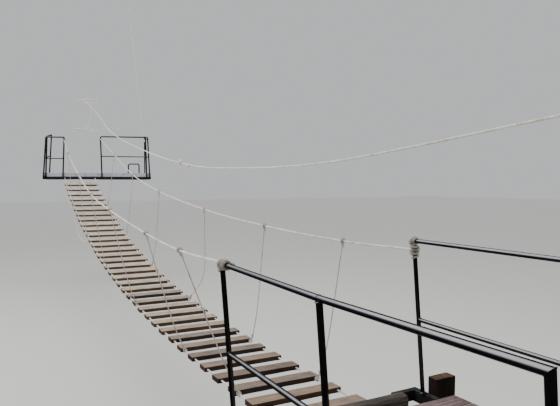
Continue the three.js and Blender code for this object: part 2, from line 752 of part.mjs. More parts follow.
const inside = FAR_FRAME_BAR;
const notchSide = NOTCH_RADIUS + FAR_FRAME_BAR;
const bays = [
  [FAR_LEFT_U + inside, -notchSide - inside, FAR_DEPTH - inside],
  [-notchSide, notchSide, NOTCH_V - notchSide],
  [notchSide + inside, FAR_MIDDLE_BAR_U, FAR_DEPTH - inside],
  [FAR_MIDDLE_BAR_U + inside, FAR_RIGHT_U - inside, FAR_DEPTH - inside],
].map(([u0, u1, v1]) => {
  const bottom = FAR_FRAME_BOTTOM_Z - CUT_THROUGH;
  return farBlock(u0, u1, inside, v1, bottom, FAR_FRAME_TOP_Z + CUT_THROUGH);
});
const ropeBores = [-1, 1].map((side) => {
  const end = farHole(side);
  const from = end.front.clone().add(new THREE.Vector3(0, -BORE_START, 0));
  return tube([from, end.knot], ROPE_HOLE_RADIUS, PIPE_SIDES);
});
const farSteel = farSlab(farOutline(), FAR_FRAME_BOTTOM_Z, FAR_FRAME_TOP_Z);
add('far_frame', cut(farSteel, [...bays, ...ropeBores]), 'steel');
add('far_deck', farSlab(farOutline(), FAR_FRAME_TOP_Z + CLEARANCE, FAR_DECK_TOP_Z), 'deck');

// A far railing is two welded loops, along the front and along the side, that stand next to
// each other at the corner and lean in towards the gate.
function farRailing({ gate, corner, outer, back, topZ, midZ }) {
  const foot = FAR_FRAME_BOTTOM_Z + FAR_FOOT_RISE;
  const deck = FAR_DECK_TOP_Z + CLEARANCE;
  const [gateZ, cornerZ] = topZ;
  const spacerZ = cornerZ - SPACER_DROP;
  const front = (post, z) => farPoint(leaningU(post, z, cornerZ), FAR_POST_V, z);
  const behind = (z) => farPoint(leaningU(back, z, FAR_BACK_TOP_Z), FAR_BACK_POST_V, z);
  const pipe = (points, radius) => tube(points, radius, PIPE_SIDES);
  const frontLoop = bent([
    front(gate, foot),
    farPoint(gate[1], FAR_POST_V, gateZ),
    front(corner, cornerZ),
    front(corner, foot),
  ], FAR_ELBOW);
  const sideLoop = bent([
    front(outer, foot),
    front(outer, cornerZ),
    behind(FAR_BACK_TOP_Z),
    behind(deck + FLANGE_THICKNESS / 2),
  ], FAR_ELBOW);
  const seat = behind(deck);
  return join([
    pipe(frontLoop, FAR_PIPE_RADIUS),
    pipe(sideLoop, FAR_PIPE_RADIUS),
    pipe([front(corner, spacerZ), front(outer, spacerZ)], FAR_MID_RADIUS),
    pipe([front(gate, midZ), front(outer, midZ)], FAR_MID_RADIUS),
    pipe([front(outer, midZ), behind(FAR_BACK_MID_Z)], FAR_MID_RADIUS),
    flange(seat.x, seat.y, seat.z),
  ]);
}

add('far_railing_left', farRailing(FAR_LEFT), 'pipe');
add('far_railing_right', farRailing(FAR_RIGHT), 'pipe');

const hoopFoot = FAR_DECK_TOP_Z + CLEARANCE;
const hoopTop = hoopFoot + HOOP_HEIGHT;
const hoopLine = bent([
  farPoint(HOOP_U[0], FAR_BACK_POST_V, hoopFoot),
  farPoint(HOOP_U[0], FAR_BACK_POST_V, hoopTop),
  farPoint(HOOP_U[1], FAR_BACK_POST_V, hoopTop),
  farPoint(HOOP_U[1], FAR_BACK_POST_V, hoopFoot),
], HOOP_BEND);
add('far_hoop', tube(hoopLine, FAR_PIPE_RADIUS, PIPE_SIDES), 'pipe');

// Stay, slings and life line

function ringPoints(centre, radius, across, along, parts) {
  const points = [];
  for (let i = 0; i <= parts; i += 1) {
    const angle = i / parts * 2 * Math.PI;
    points.push(vector(centre).addScaledVector(across, radius * Math.cos(angle))
      .addScaledVector(along, radius * Math.sin(angle)));
  }
  return points;
}

// A closed eye of rope bound with twine, so a little thicker, as two arcs that overlap.
function eye(centre, along) {
  const points = ringPoints(centre, EYE_RADIUS, along, new THREE.Vector3(1, 0, 0), EYE_PARTS);
  const first = points.slice(0, EYE_PARTS / 2 + 2);
  const second = [...points.slice(EYE_PARTS / 2), points[1]];
  return [tube(first, EYE_ROPE_RADIUS, ROPE_SIDES), tube(second, EYE_ROPE_RADIUS, ROPE_SIDES)];
}

const stayFoot = farPoint(FAR_RIGHT.back[0], FAR_BACK_POST_V, FAR_BACK_TOP_Z - STAY_FOOT_DROP);
const stayTop = vector(STAY_TOP);
const stayPipe = FAR_PIPE_RADIUS + CLEARANCE;
const stayStart = stayFoot.clone().add(new THREE.Vector3(0, stayPipe + LINE_RADIUS, STAY_START_Z));
const stayBend = stayFoot.clone().add(vector(STAY_BEND));
const tieZ = LOW_SLING_Z + TIE_RISE;
const tiePoint = new THREE.Vector3(stayFoot.x + STAY_TIE[0], stayFoot.y + STAY_TIE[1], tieZ);
const stayEye = stayTop.clone().add(new THREE.Vector3(0, 0, EYE_RADIUS));
add('stay_rope', join([
  sleeve(stayFoot, stayFoot.clone().setZ(stayFoot.z + COLLAR_LENGTH), stayPipe, stayPipe + 2 * LINE_RADIUS),
  tube([stayStart, stayBend, tiePoint, stayTop], LINE_RADIUS, ROPE_SIDES),
  ...eye(stayEye, new THREE.Vector3(0, 0, 1)),
]), 'rope');

// Two turns of rope round the trunk, as one ring.
function sling(z) {
  const inner = SLING_RADIUS - 2 * LINE_RADIUS;
  const section = [
    [inner, -SLING_HALF],
    [SLING_RADIUS, -SLING_HALF],
    [SLING_RADIUS, SLING_HALF],
    [inner, SLING_HALF],
    [inner, -SLING_HALF],
  ];
  const geometry = new THREE.LatheGeometry(section.map((p) => new THREE.Vector2(...p)), SLING_SIDES);
  geometry.rotateX(Math.PI / 2);
  geometry.translate(SLING_CENTRE[0], SLING_CENTRE[1], z);
  return geometry;
}

const slingSide = SLING_RADIUS - LINE_RADIUS;
const [slingX, slingY] = SLING_CENTRE;
const stayUp = stayTop.clone().sub(tiePoint).normalize();
const tieFrom = new THREE.Vector3(slingX + slingSide, slingY, LOW_SLING_Z);
const tieRing = tiePoint.clone().addScaledVector(stayUp, TIE_RING);
const tieInner = LINE_RADIUS + CLEARANCE;
const tieEnd = tieRing.clone().add(new THREE.Vector3(-tieInner - TIE_WALL / 2, 0, 0));
const tieMiddle = tieFrom.clone().lerp(tieEnd, 0.5).add(new THREE.Vector3(0, 0, -TIE_SAG));
const ringLow = tieRing.clone().addScaledVector(stayUp, -TIE_RING_HALF);
const ringHigh = tieRing.clone().addScaledVector(stayUp, TIE_RING_HALF);
const link = [
  [slingX + LINK_LOW[0], slingY - slingSide * LINK_LOW[1], LOW_SLING_Z],
  [slingX + LINK_MIDDLE[0], slingY - slingSide - LINK_MIDDLE[1], (LOW_SLING_Z + HIGH_SLING_Z) / 2],
  [slingX + LINK_HIGH[0], slingY - slingSide * LINK_HIGH[1], HIGH_SLING_Z],
];
const slingKnot = [
  slingX + slingSide * Math.sin(KNOT_TURN),
  slingY - slingSide * Math.cos(KNOT_TURN),
  HIGH_SLING_Z,
];
add('trunk_slings', join([
  sling(LOW_SLING_Z),
  sling(HIGH_SLING_Z),
  tube(link, LINE_RADIUS, ROPE_SIDES),
  tube(smooth([tieFrom, tieMiddle, tieEnd], TIE_PARTS), LINE_RADIUS, ROPE_SIDES),
  sleeve(ringLow, ringHigh, tieInner, tieInner + TIE_WALL),
  ball(slingKnot, HANDRAIL_KNOT_RADIUS),
]), 'rope');

const lineStart = [slingKnot[0], slingKnot[1] - HANDRAIL_KNOT_RADIUS - 2 * CLEARANCE, HIGH_SLING_Z];
const lineEnd = vector(LIFE_LINE[LIFE_LINE.length - 1]);
const lineEye = lineEnd.clone().add(new THREE.Vector3(0, -EYE_RADIUS, LIFE_EYE_RISE));
add('life_line', join([
  tube(smooth([lineStart, ...LIFE_LINE], LIFE_LINE_PARTS), LINE_RADIUS, ROPE_SIDES),
  ball(LINE_KNOT, LINE_KNOT_RADIUS),
  tube(LINE_TAIL, LINE_RADIUS, ROPE_SIDES),
  ...eye(lineEye, new THREE.Vector3(0, 1, 0)),
]), 'rope');

export default root;
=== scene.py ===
"""Rope suspension footbridge: sawn planks threaded on two laid ropes between two landings."""

import math
import random

import bpy
from mathutils import Matrix, Vector, noise


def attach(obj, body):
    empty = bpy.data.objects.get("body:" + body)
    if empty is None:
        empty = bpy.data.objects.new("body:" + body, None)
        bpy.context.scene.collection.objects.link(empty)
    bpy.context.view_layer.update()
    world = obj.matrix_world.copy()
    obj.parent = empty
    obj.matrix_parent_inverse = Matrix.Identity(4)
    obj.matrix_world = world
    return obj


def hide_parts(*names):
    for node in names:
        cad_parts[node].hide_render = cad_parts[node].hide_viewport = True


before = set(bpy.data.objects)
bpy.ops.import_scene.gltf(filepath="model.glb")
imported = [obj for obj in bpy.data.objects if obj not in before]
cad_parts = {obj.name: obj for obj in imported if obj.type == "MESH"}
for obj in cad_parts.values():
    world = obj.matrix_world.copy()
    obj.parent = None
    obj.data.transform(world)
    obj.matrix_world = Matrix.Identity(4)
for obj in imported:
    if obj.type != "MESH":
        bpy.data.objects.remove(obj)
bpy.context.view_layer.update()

# places and sizes, in metres
# Places are given from the near landing: x from the middle of the walkway, y from the face of
# the near beam, z from the top of the near floor. The part's origin is a post's foot.
FROM_POST_FOOT = Vector((0.958, 0.085, 1.15))

# The walkway, and how its height changes with y, y squared and y cubed.
PLANKS = 35
PLANK = Vector((0.72, 0.13, 0.04))
FIRST_PLANK_Y = 0.1
PITCH = 0.31
DIP = -0.0433
SAG_SQUARE = 0.01048
SAG_CUBE = 0.00068
WALKWAY_X = 0.009
WALKWAY_TURN = math.radians(1.36)
FOOT_ROPE_X = 0.33
BORE = 0.0095

# Radii of the ropes.
FOOT_ROPE = 0.007
STOP_KNOT = 0.021
STOP_KNOT_ROPE = 0.0062
HANDRAIL = 0.008
HANGER = 0.005
LASHING = 0.0075
SLACK_ROPE = 0.006
LINE = 0.007
STAY_LASHING = 0.0065
SLING_KNOT_ROPE = 0.0055

# A laid rope has three strands. One turn takes LAY rope widths.
STRANDS = 3
LAY = 3.4
STRAND_PART = 2.155
STRAND_DRAWN = 2.0

# Handrail ropes and hangers, from the near landing to the far one.
HANGER_PLANKS = (33, 29, 23, 17, 11, 5)
HANGER_SETBACK = 0.09
LEFT_RAIL = ((-0.701, 0.769, 1.008), (-0.645, 1.828, 1.040), (-0.555, 3.686, 1.162),
             (-0.430, 5.534, 1.313), (-0.306, 7.361, 1.629), (-0.215, 9.157, 2.084))
RIGHT_RAIL = ((0.568, 0.589, 1.026), (0.521, 1.828, 1.064), (0.561, 3.530, 1.153),
              (0.597, 5.534, 1.348), (0.650, 7.361, 1.636), (0.714, 9.157, 2.086))
# The hangers are a little slack and bow outwards below the middle.
BOW_PLACE = 0.28
LEFT_BOWS = (0.012, 0.020, 0.020, 0.015, 0.010, 0.010)
RIGHT_BOWS = (0.025, 0.020, 0.128, 0.020, 0.015, 0.010)
# The slack rope's spans: the planks at its ends and how far it hangs.
LEFT_SLACK = ((1, 5, 0.085), (5, 11, 0.225))

# The near landing.
PIPE = 0.015
LEFT_RAILING = {"foot_x": -0.690, "top_x": -0.771, "tops": (1.036, 1.022, 1.030),
                "mids": (0.529, 0.489), "posts": (-0.150, -1.122, -2.130)}
RIGHT_RAILING = {"foot_x": 0.781, "top_x": 0.688, "tops": (1.083, 1.083, 1.083),
                 "mids": (0.530, 0.521), "posts": (-0.080, -1.220, -2.120)}
BASE_PLATE = 0.030
BASE_BOLTS = 4
FLOOR_BOARDS = 13
FLOOR_BACK = -2.3
FLOOR_DEPTH = 2.1
FLOOR_HALF = 0.96
FLOOR_THICK = 0.03
SCREW_ROWS = (-0.70, 0.0, 0.80)
LOG_LENGTH = 1.3012
LOG_MIDDLE = (-0.0238, -0.055, -0.035)
LOG_HALF_DEPTH = 0.110
LOG_HALF_HEIGHT = 0.130
LOG_SQUARENESS = 3.2
POST_HALF = (0.09, 0.045)
POST_TOP = 0.098
POST_SPOTS = {"front_left": (-0.958, -0.085), "front_right": (0.958, -0.085),
              "rear_left": (-0.958, -2.355), "rear_right": (0.958, -2.355)}

# The far landing, which is turned: u runs along its front, v towards its back.
FAR_ORIGIN = Vector((0.299, 10.697, 0))
FAR_TURN = math.radians(-11)
FAR_SIDES = (-0.849, 1.590)
FAR_DEPTH = 1.48
FAR_FRAME_BOTTOM = 1.569
FAR_FRAME_TOP = 1.630
FAR_DECK_TOP = 1.719
FAR_BOARDS = 16
FAR_BOARD_THICK = 0.028
FASCIA = 0.020
JOIST = 0.045
JOISTS_U = (-0.57, 0.50, 1.02)
JOIST_V = 0.56
NOTCH = 0.388
NOTCH_V = 1.026
FAR_POST_V = -0.0185
FAR_BACK_V = 1.38
FAR_PIPE = 0.017
FAR_MID_PIPE = 0.0125
FAR_ELBOW = 0.030
FAR_BACK_TOP, FAR_BACK_MID = 2.700, 2.170
# Each far railing's posts, as u at the foot and at the top, and its front rails' heights.
FAR_LEFT = {"gate": (-0.410, -0.371), "corner": (-0.778, -0.739), "outer": (-0.830, -0.763),
            "behind": (-0.814, -0.745), "tops": (2.541, 2.541), "mid": 2.049}
FAR_RIGHT = {"gate": (0.456, 0.430), "corner": (1.489, 1.466), "outer": (1.564, 1.515),
             "behind": (1.552, 1.552), "tops": (2.575, 2.585), "mid": 2.111}
SPACER_DROP = 0.045
FAR_LASH_DROP = 0.092
ROPE_END_Z = 1.597
HOOP = (1.129, 1.403)
HOOP_TOP = 0.264
HOOP_ELBOW = 0.05

# The ropes above the walkway.
SLING = 0.317
SLING_MIDDLE = (0.640, 11.700)
LOW_SLING, HIGH_SLING = 2.835, 3.543
KNOT_TURN = math.radians(-29)
STAY_TOP = (1.720, 11.951, 6.519)
EYE = 0.042
LIFE_LINE = ((0.458, 9.814, 3.068), (0.399, 7.854, 2.427), (0.323, 5.359, 1.967),
             (0.260, 3.266, 1.695), (0.214, 1.734, 1.619), (0.166, 0.178, 1.624),
             (0.114, -1.550, 1.754), (0.100, -2.020, 1.800))
LINE_KNOT = (0.268, 3.546, 1.737)
LINE_TAIL = (LINE_KNOT, (0.255, 3.560, 1.668), (0.236, 3.572, 1.612))

AHEAD = Vector((0, 1, 0))
UP = Vector((0, 0, 1))


def at(x, y, z):
    """A place in the part's own frame."""
    return Vector((x, y, z)) + FROM_POST_FOOT


def far(u, v, z):
    """A place on the far landing."""
    return Matrix.Rotation(FAR_TURN, 3, "Z") @ Vector((u, v, 0)) + FAR_ORIGIN + at(0, 0, z)


def leaning(post, z, top):
    """A leaning far post's u at a height, from its u at the foot and at the top."""
    foot_u, top_u = post
    return foot_u + (top_u - foot_u) * (z - FAR_FRAME_BOTTOM) / (top - FAR_FRAME_BOTTOM)


def walkway(x, y, z):
    """A place on the walkway: x from its middle, y along it."""
    return Matrix.Rotation(-WALKWAY_TURN, 3, "Z") @ Vector((x, y, 0)) + at(WALKWAY_X, 0, z)


def deck_top(y):
    return DIP * y + SAG_SQUARE * y ** 2 + SAG_CUBE * y ** 3 if y > 0 else 0.0


def deck_slope(y):
    return DIP + 2 * SAG_SQUARE * y + 3 * SAG_CUBE * y ** 2 if y > 0 else 0.0


def rope_height(y):
    return deck_top(y) - PLANK.z / 2


plank_y = {}
walk = FIRST_PLANK_Y
for number in range(PLANKS, 0, -1):
    plank_y[number] = walk
    walk += PITCH / math.hypot(1, deck_slope(walk + PITCH / 2))

# camera, as solved from the planks, railings and landing corners
SENSOR = 36.0
FOCAL_PIXELS = 555
FRAME_PIXELS = 560
CAMERA_PLACE = (-1.97, -2.96, 1.48)
CAMERA_DOWN = 2.06
CAMERA_RIGHT = 29.08

camera = bpy.data.objects.new("camera", bpy.data.cameras.new("camera"))
bpy.context.collection.objects.link(camera)
bpy.context.scene.camera = camera
camera.data.sensor_width = SENSOR
camera.data.lens = SENSOR * FOCAL_PIXELS / FRAME_PIXELS
camera.data.clip_end = 200
camera.location = at(*CAMERA_PLACE)
camera.rotation_euler = (math.radians(90 - CAMERA_DOWN), 0, math.radians(-CAMERA_RIGHT))

# materials
# How a mix node joins its two colours.
MIX = {"data_type": "RGBA", "blend_type": "MIX"}
MULTIPLY = {"data_type": "RGBA", "blend_type": "MULTIPLY"}
WHITE = "#ffffff"
# Weathered boards: what cool ones turn to, what bleached ones turn to (far tops also brightened
# as painted light), the colour darker ones are multiplied by, and the painted shade on warm fresh
# sides.
COOL_WOOD = "#948a86"
BLEACHED_AND_LIT_WOOD = "#e9ddc8"
DARKENED_WOOD = "#a69c96"
WARM_SIDE_SHADE = "#70503a"


def srgb(code):
    """A hex colour as linear red, green and blue."""
    channels = [int(code[i:i + 2], 16) / 255 for i in (1, 3, 5)]
    return [c / 12.92 if c <= 0.04045 else ((c + 0.055) / 1.055) ** 2.4 for c in channels] + [1.0]


def feed(tree, node, inputs):
    """Gives a node's inputs their values and links. A node means its first output in use."""
    for key, value in inputs.items():
        if isinstance(value, bpy.types.Node):
            value = next(output for output in value.outputs if output.enabled)
        if isinstance(value, bpy.types.NodeSocket):
            tree.links.new(value, node.inputs[key])
        else:
            node.inputs[key].default_value = srgb(value) if isinstance(value, str) else value


def add(tree, kind, inputs=(), stops=(), **settings):
    """Adds one shader node, with its settings, colour stops, values and links."""
    node = tree.nodes.new("ShaderNode" + kind)
    for key, value in settings.items():
        setattr(node, key, value)
    if stops:
        ramp = node.color_ramp
        while len(ramp.elements) < len(stops):
            ramp.elements.new(0.5)
        for element, (place, value) in zip(ramp.elements, stops):
            element.position = place
            element.color = srgb(value) if isinstance(value, str) else (value, value, value, 1)
    feed(tree, node, dict(inputs))
    return node


def new_material(name):
    """An empty material, its tree, its shader and the place on the piece."""
    material = bpy.data.materials.new(name)
    material.use_nodes = True
    tree = material.node_tree
    tree.nodes.clear()
    shader = add(tree, "BsdfPrincipled")
    add(tree, "OutputMaterial", {"Surface": shader})
    return material, tree, shader, add(tree, "TexCoord").outputs["Object"]


def sawn_timber(name, grain, ramp, side="#4a3322", rough=0.78, streak=1.0, toned=False):
    """Sawn timber left out in the rain: silvered grain lines, drying cracks and dark stains.

    grain is the scale of the streaks along x, y and z, low along the length of the board. Toned
    boards have a warmth, a bleach (partly painted light on far tops) and a darkening of their own."""
    material, tree, shader, place = new_material(name)
    along = add(tree, "Mapping", {"Vector": place, "Scale": grain})
    # Growth rings as sawn through, about 6 mm apart.
    rings = add(tree, "TexNoise", {"Vector": along, "Scale": 5.0, "Detail": 6.0,
                                   "Roughness": 0.62, "Distortion": 0.35})
    # Fibres raised by weather, about 1.5 mm apart.
    fibre = add(tree, "TexNoise", {"Vector": along, "Scale": 22.0, "Detail": 4.0,
                                   "Roughness": 0.7})
    patch = add(tree, "TexNoise", {"Vector": place, "Scale": 7.0, "Detail": 3.0, "Roughness": 0.6})
    colour = add(tree, "ValToRGB", {"Fac": rings}, ramp)
    painted_side_shade = side
    if toned:
        own = add(tree, "Attribute", attribute_name="board_tone")
        tone = add(tree, "SeparateColor", {"Color": own}).outputs
        warmth, bleach_and_light, darkening = tone["Red"], tone["Green"], tone["Blue"]
        colour = add(tree, "Mix", {0: warmth, 6: COOL_WOOD, 7: colour}, **MIX)
        # Bleach lightens the board; its rise with distance along the walkway is painted light on
        # the far tops.
        colour = add(tree, "Mix", {0: bleach_and_light, 6: colour, 7: BLEACHED_AND_LIT_WOOD}, **MIX)
        # This channel multiplies the board's colour darker; the nearer boards carry the most.
        colour = add(tree, "Mix", {0: darkening, 6: colour, 7: DARKENED_WOOD}, **MULTIPLY)
        # Painted shade colour for the side faces: a warm brown on warm boards.
        painted_side_shade = add(tree, "Mix", {0: warmth, 6: side, 7: WARM_SIDE_SHADE}, **MIX)
    streaks = add(tree, "ValToRGB", {"Fac": fibre}, ((0.32, 0.50), (0.5, 0.92), (0.72, 1.12)))
    colour = add(tree, "Mix", {0: 0.75 * streak, 6: colour, 7: streaks}, **MULTIPLY)
    stain = add(tree, "ValToRGB", {"Fac": patch}, ((0.30, 0.55), (0.52, 1.0), (0.8, 1.08)))
    colour = add(tree, "Mix", {0: 0.7, 6: colour, 7: stain}, **MULTIPLY)
    # Drying cracks: long thin dark lines.
    crack_place = add(tree, "Mapping", {"Vector": along, "Scale": (0.55, 1.6, 1.6)})
    crack = add(tree, "TexVoronoi", {"Vector": crack_place, "Scale": 7.0,
                                     "Randomness": 1.0}, feature="DISTANCE_TO_EDGE")
    line = add(tree, "ValToRGB", {"Fac": crack}, ((0.0, 0.25), (0.035, 1.0)))
    colour = add(tree, "Mix", {0: 0.6, 6: colour, 7: line}, **MULTIPLY)
    # Painted shade: faces that do not face up are drawn darker than the tops, towards the side
    # colour.
    normal = add(tree, "NewGeometry").outputs["Normal"]
    facing_up = add(tree, "SeparateXYZ", {"Vector": normal}).outputs["Z"]
    top = add(tree, "MapRange", {"Value": facing_up, "From Min": 0.35, "From Max": 0.8})
    shade = add(tree, "Mix", {0: top, 6: painted_side_shade, 7: WHITE}, **MIX)
    colour = add(tree, "Mix", {0: 0.92, 6: colour, 7: shade}, **MULTIPLY)
    height = add(tree, "Math", {0: fibre, 1: line}, operation="MULTIPLY")
    bump = add(tree, "Bump", {"Height": height, "Strength": 0.55, "Distance": 0.0015})
    feed(tree, shader, {"Base Color": colour, "Normal": bump,
                        "Roughness": rough, "IOR": 1.5, "Specular IOR Level": 0.2})
    return material


def laid_rope(name, clean, dirty, shade):
    """Laid polypropylene rope: pale split fibres, grey dirt in the lay and a faint sheen."""
    material, tree, shader, place = new_material(name)
    # Dirt in patches of about 60 mm.
    dirt = add(tree, "TexNoise", {"Vector": place, "Scale": 16.0, "Detail": 5.0,
                                  "Roughness": 0.65})
    # Split fibres, drawn about 2 mm wide, coarser than real, so that they show.
    fibre = add(tree, "TexNoise", {"Vector": place, "Scale": 480.0, "Detail": 2.0,
                                   "Roughness": 0.6})
    tone = add(tree, "ValToRGB", {"Fac": dirt}, ((0.30, dirty), (0.50, clean), (0.75, shade)))
    fleck = add(tree, "ValToRGB", {"Fac": fibre}, ((0.3, 0.72), (0.6, 1.05)))
    colour = add(tree, "Mix", {0: 0.6, 6: tone, 7: fleck}, **MULTIPLY)
    bump = add(tree, "Bump", {"Height": fibre, "Strength": 0.4, "Distance": 0.0008})
    feed(tree, shader, {"Base Color": colour, "Normal": bump,
                        "Roughness": 0.62, "IOR": 1.49, "Sheen Weight": 0.25})
    return material


def enamelled_pipe():
    """Black enamelled steel pipe: a wet gloss, faint brush ripple, dust and small rubbed marks."""
    material, tree, shader, place = new_material("black_enamelled_steel_pipe")
    ripple = add(tree, "TexNoise", {"Vector": place, "Scale": 60.0, "Detail": 2.0})
    dust = add(tree, "TexNoise", {"Vector": place, "Scale": 9.0, "Detail": 6.0, "Roughness": 0.7})
    rub = add(tree, "TexNoise", {"Vector": place, "Scale": 140.0, "Detail": 3.0, "Roughness": 0.7})
    tone = add(tree, "ValToRGB", {"Fac": dust},
               ((0.35, "#060607"), (0.6, "#0c0d0e"), (0.84, "#262522")))
    marks = add(tree, "ValToRGB", {"Fac": rub}, ((0.70, 0.0), (0.78, 1.0)))
    worn = add(tree, "Math", {0: marks, 1: 0.35}, operation="MULTIPLY")
    colour = add(tree, "Mix", {0: worn, 6: tone, 7: "#5a5148"}, **MIX)
    rough = add(tree, "MapRange", {"Value": dust, "From Min": 0.3,
                                   "From Max": 0.8, "To Min": 0.10, "To Max": 0.26})
    bump = add(tree, "Bump", {"Height": ripple, "Strength": 0.12, "Distance": 0.001})
    feed(tree, shader, {"Base Color": colour, "Roughness": rough, "Normal": bump, "IOR": 1.55,
                        "Specular IOR Level": 0.8})
    return material


def painted_section():
    """Rolled steel brushed with black paint: satin, with rust creeping from the mill scale."""
    material, tree, shader, place = new_material("painted_rolled_steel")
    scale = add(tree, "TexNoise", {"Vector": place, "Scale": 24.0, "Detail": 7.0,
                                   "Roughness": 0.7})
    pits = add(tree, "TexNoise", {"Vector": place, "Scale": 260.0, "Detail": 3.0})
    rust = add(tree, "ValToRGB", {"Fac": scale},
               ((0.58, "#1a1a1a"), (0.66, "#33241a"), (0.76, "#5c3822")))
    rough = add(tree, "MapRange", {"Value": scale, "From Min": 0.4,
                                   "From Max": 0.75, "To Min": 0.38, "To Max": 0.8})
    bump = add(tree, "Bump", {"Height": pits, "Strength": 0.3, "Distance": 0.001})
    feed(tree, shader, {"Base Color": rust, "Roughness": rough, "Normal": bump})
    return material


def mossy_log():
    """A peeled log: silver-brown wood with long checks, and moss where it stays damp."""
    material, tree, shader, place = new_material("peeled_mossy_log")
    along = add(tree, "Mapping", {"Vector": place, "Scale": (1.2, 16.0, 16.0)})
    grain = add(tree, "TexNoise", {"Vector": along, "Scale": 4.0,
                                   "Detail": 7.0, "Roughness": 0.68})
    moss = add(tree, "TexNoise", {"Vector": place, "Scale": 14.0, "Detail": 8.0,
                                  "Roughness": 0.72})
    tuft = add(tree, "TexNoise", {"Vector": place, "Scale": 220.0, "Detail": 3.0})
    wood = add(tree, "ValToRGB", {"Fac": grain},
               ((0.30, "#15110e"), (0.45, "#302822"), (0.6, "#4e453b"), (0.75, "#72685a")))
    green = add(tree, "ValToRGB", {"Fac": tuft}, ((0.3, "#33361f"), (0.7, "#6a6c48")))
    where = add(tree, "ValToRGB", {"Fac": moss}, ((0.56, 0.0), (0.66, 0.7)))
    colour = add(tree, "Mix", {0: where, 6: wood, 7: green}, **MIX)
    height = add(tree, "Math", {0: grain, 1: moss}, operation="ADD")
    bump = add(tree, "Bump", {"Height": height, "Strength": 0.7, "Distance": 0.003})
    feed(tree, shader, {"Base Color": colour, "Normal": bump, "Roughness": 0.85})
    return material


def zinc_bolt():
    """Zinc-plated bolt heads: dull spangled grey with white bloom."""
    material, tree, shader, place = new_material("zinc_plated_bolt")
    bloom = add(tree, "TexNoise", {"Vector": place, "Scale": 90.0, "Detail": 5.0})
    tone = add(tree, "ValToRGB", {"Fac": bloom}, ((0.4, "#6c6e6f"), (0.7, "#a9aaa8")))
    feed(tree, shader, {"Base Color": tone, "Metallic": 0.85, "Roughness": 0.48})
    return material


ALONG_X, ALONG_Y, ALONG_Z = (0.9, 9.0, 9.0), (9.0, 0.9, 9.0), (9.0, 9.0, 0.9)
# Sawn softwood boards, silvered and stained, each with its own tone, with dark painted shade on
# their sides.
plank_wood = sawn_timber(
    "weathered_sawn_plank", ALONG_X,
    ((0.28, "#7a5f45"), (0.42, "#a5825c"), (0.56, "#c7a577"), (0.74, "#e0c698")),
    side="#3a2c2c", toned=True)
# Stained floor boards, dull purple-brown, with painted shade on their sides.
floor_wood = sawn_timber(
    "purple_brown_floor_board", ALONG_X,
    ((0.28, "#4a3a38"), (0.45, "#6f5c5a"), (0.6, "#8c7876"), (0.78, "#a89694")), rough=0.7)
# Squared posts soaked in dark stain, with painted shade on all their upright faces.
post_wood = sawn_timber(
    "dark_stained_square_post", ALONG_Z,
    ((0.28, "#2b1f18"), (0.45, "#4a372a"), (0.62, "#6a4c3a"), (0.8, "#8a6a52")), rough=0.75)
# Boards under a thin pale paint, through which little grain shows, with a faint painted shade on
# their sides.
pale_deck = sawn_timber(
    "pale_grey_painted_deck", ALONG_Y,
    ((0.28, "#b0aeb6"), (0.45, "#c3c1c9"), (0.62, "#d2d0d8"), (0.8, "#dedde2")),
    side="#e6e4ec", rough=0.6, streak=0.35)
rope_cream = laid_rope("laid_polypropylene_rope", "#f1ecdf", "#b8ae9a", "#fbf8ef")
rope_grey = laid_rope("laid_grey_hanger_rope", "#bdb4a8", "#857c72", "#d6cfc4")
rope_brown = laid_rope("weathered_lashing_rope", "#a0978e", "#544a44", "#c2b9ae")
pipe_black = enamelled_pipe()
steel_black = painted_section()
log_wood = mossy_log()
bolt_zinc = zinc_bolt()


# modelling helpers
def deselect():
    bpy.ops.object.select_all(action="DESELECT")


def choose(piece):
    """Makes one piece the only selected one."""
    deselect()
    piece.select_set(True)
    bpy.context.view_layer.objects.active = piece


def apply_place(piece):
    """Bakes a piece's place, turn and size into its mesh."""
    choose(piece)
    bpy.ops.object.transform_apply(location=True, rotation=True, scale=True)


def painted(piece, material):
    piece.data.materials.clear()
    piece.data.materials.append(material)
    return piece


def finish_piece(name, pieces, nodes=(), material=None):
    """Makes one named piece that rides on the body, with its finish and what it stands for."""
    piece = joined(pieces)
    piece.name = name
    apply_place(piece)
    if material:
        painted(piece, material)
    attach(piece, "root")
    if nodes:
        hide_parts(*nodes)


def joined(pieces):
    choose(pieces[0])
    for piece in pieces:
        piece.select_set(True)
    if len(pieces) > 1:
        bpy.ops.object.join()
    return pieces[0]


def tubes(lines, radius, sides=6):
    """One mesh of round tubes that follow the given lines."""
    curve = bpy.data.curves.new("tubes", "CURVE")
    curve.dimensions = "3D"
    curve.bevel_depth = radius
    curve.bevel_resolution = (sides - 4) // 2
    curve.use_fill_caps = True
    for line in lines:
        spline = curve.splines.new("POLY")
        spline.points.add(len(line) - 1)
        for point, place in zip(spline.points, line):
            point.co = (*place, 1.0)
    piece = bpy.data.objects.new("tubes", curve)
    bpy.context.collection.objects.link(piece)
    choose(piece)
    bpy.ops.object.convert(target="MESH")
    piece = bpy.context.view_layer.objects.active
    for face in piece.data.polygons:
        face.use_smooth = True
    return piece


def curved(points, spacing):
    """A smooth line through the points, with a point about every spacing metres."""
    ends = [points[0] * 2 - points[1]] + list(points) + [points[-1] * 2 - points[-2]]
    line = []
    for a, b, c, d in zip(ends, ends[1:], ends[2:], ends[3:]):
        steps = max(2, int((c - b).length / spacing))
        for i in range(steps):
            t = i / steps
            line.append(0.5 * ((2 * b) + (c - a) * t + (2 * a - 5 * b + 4 * c - d) * t * t
                               + (3 * b - 3 * c + d - a) * t ** 3))
    return line + [points[-1]]


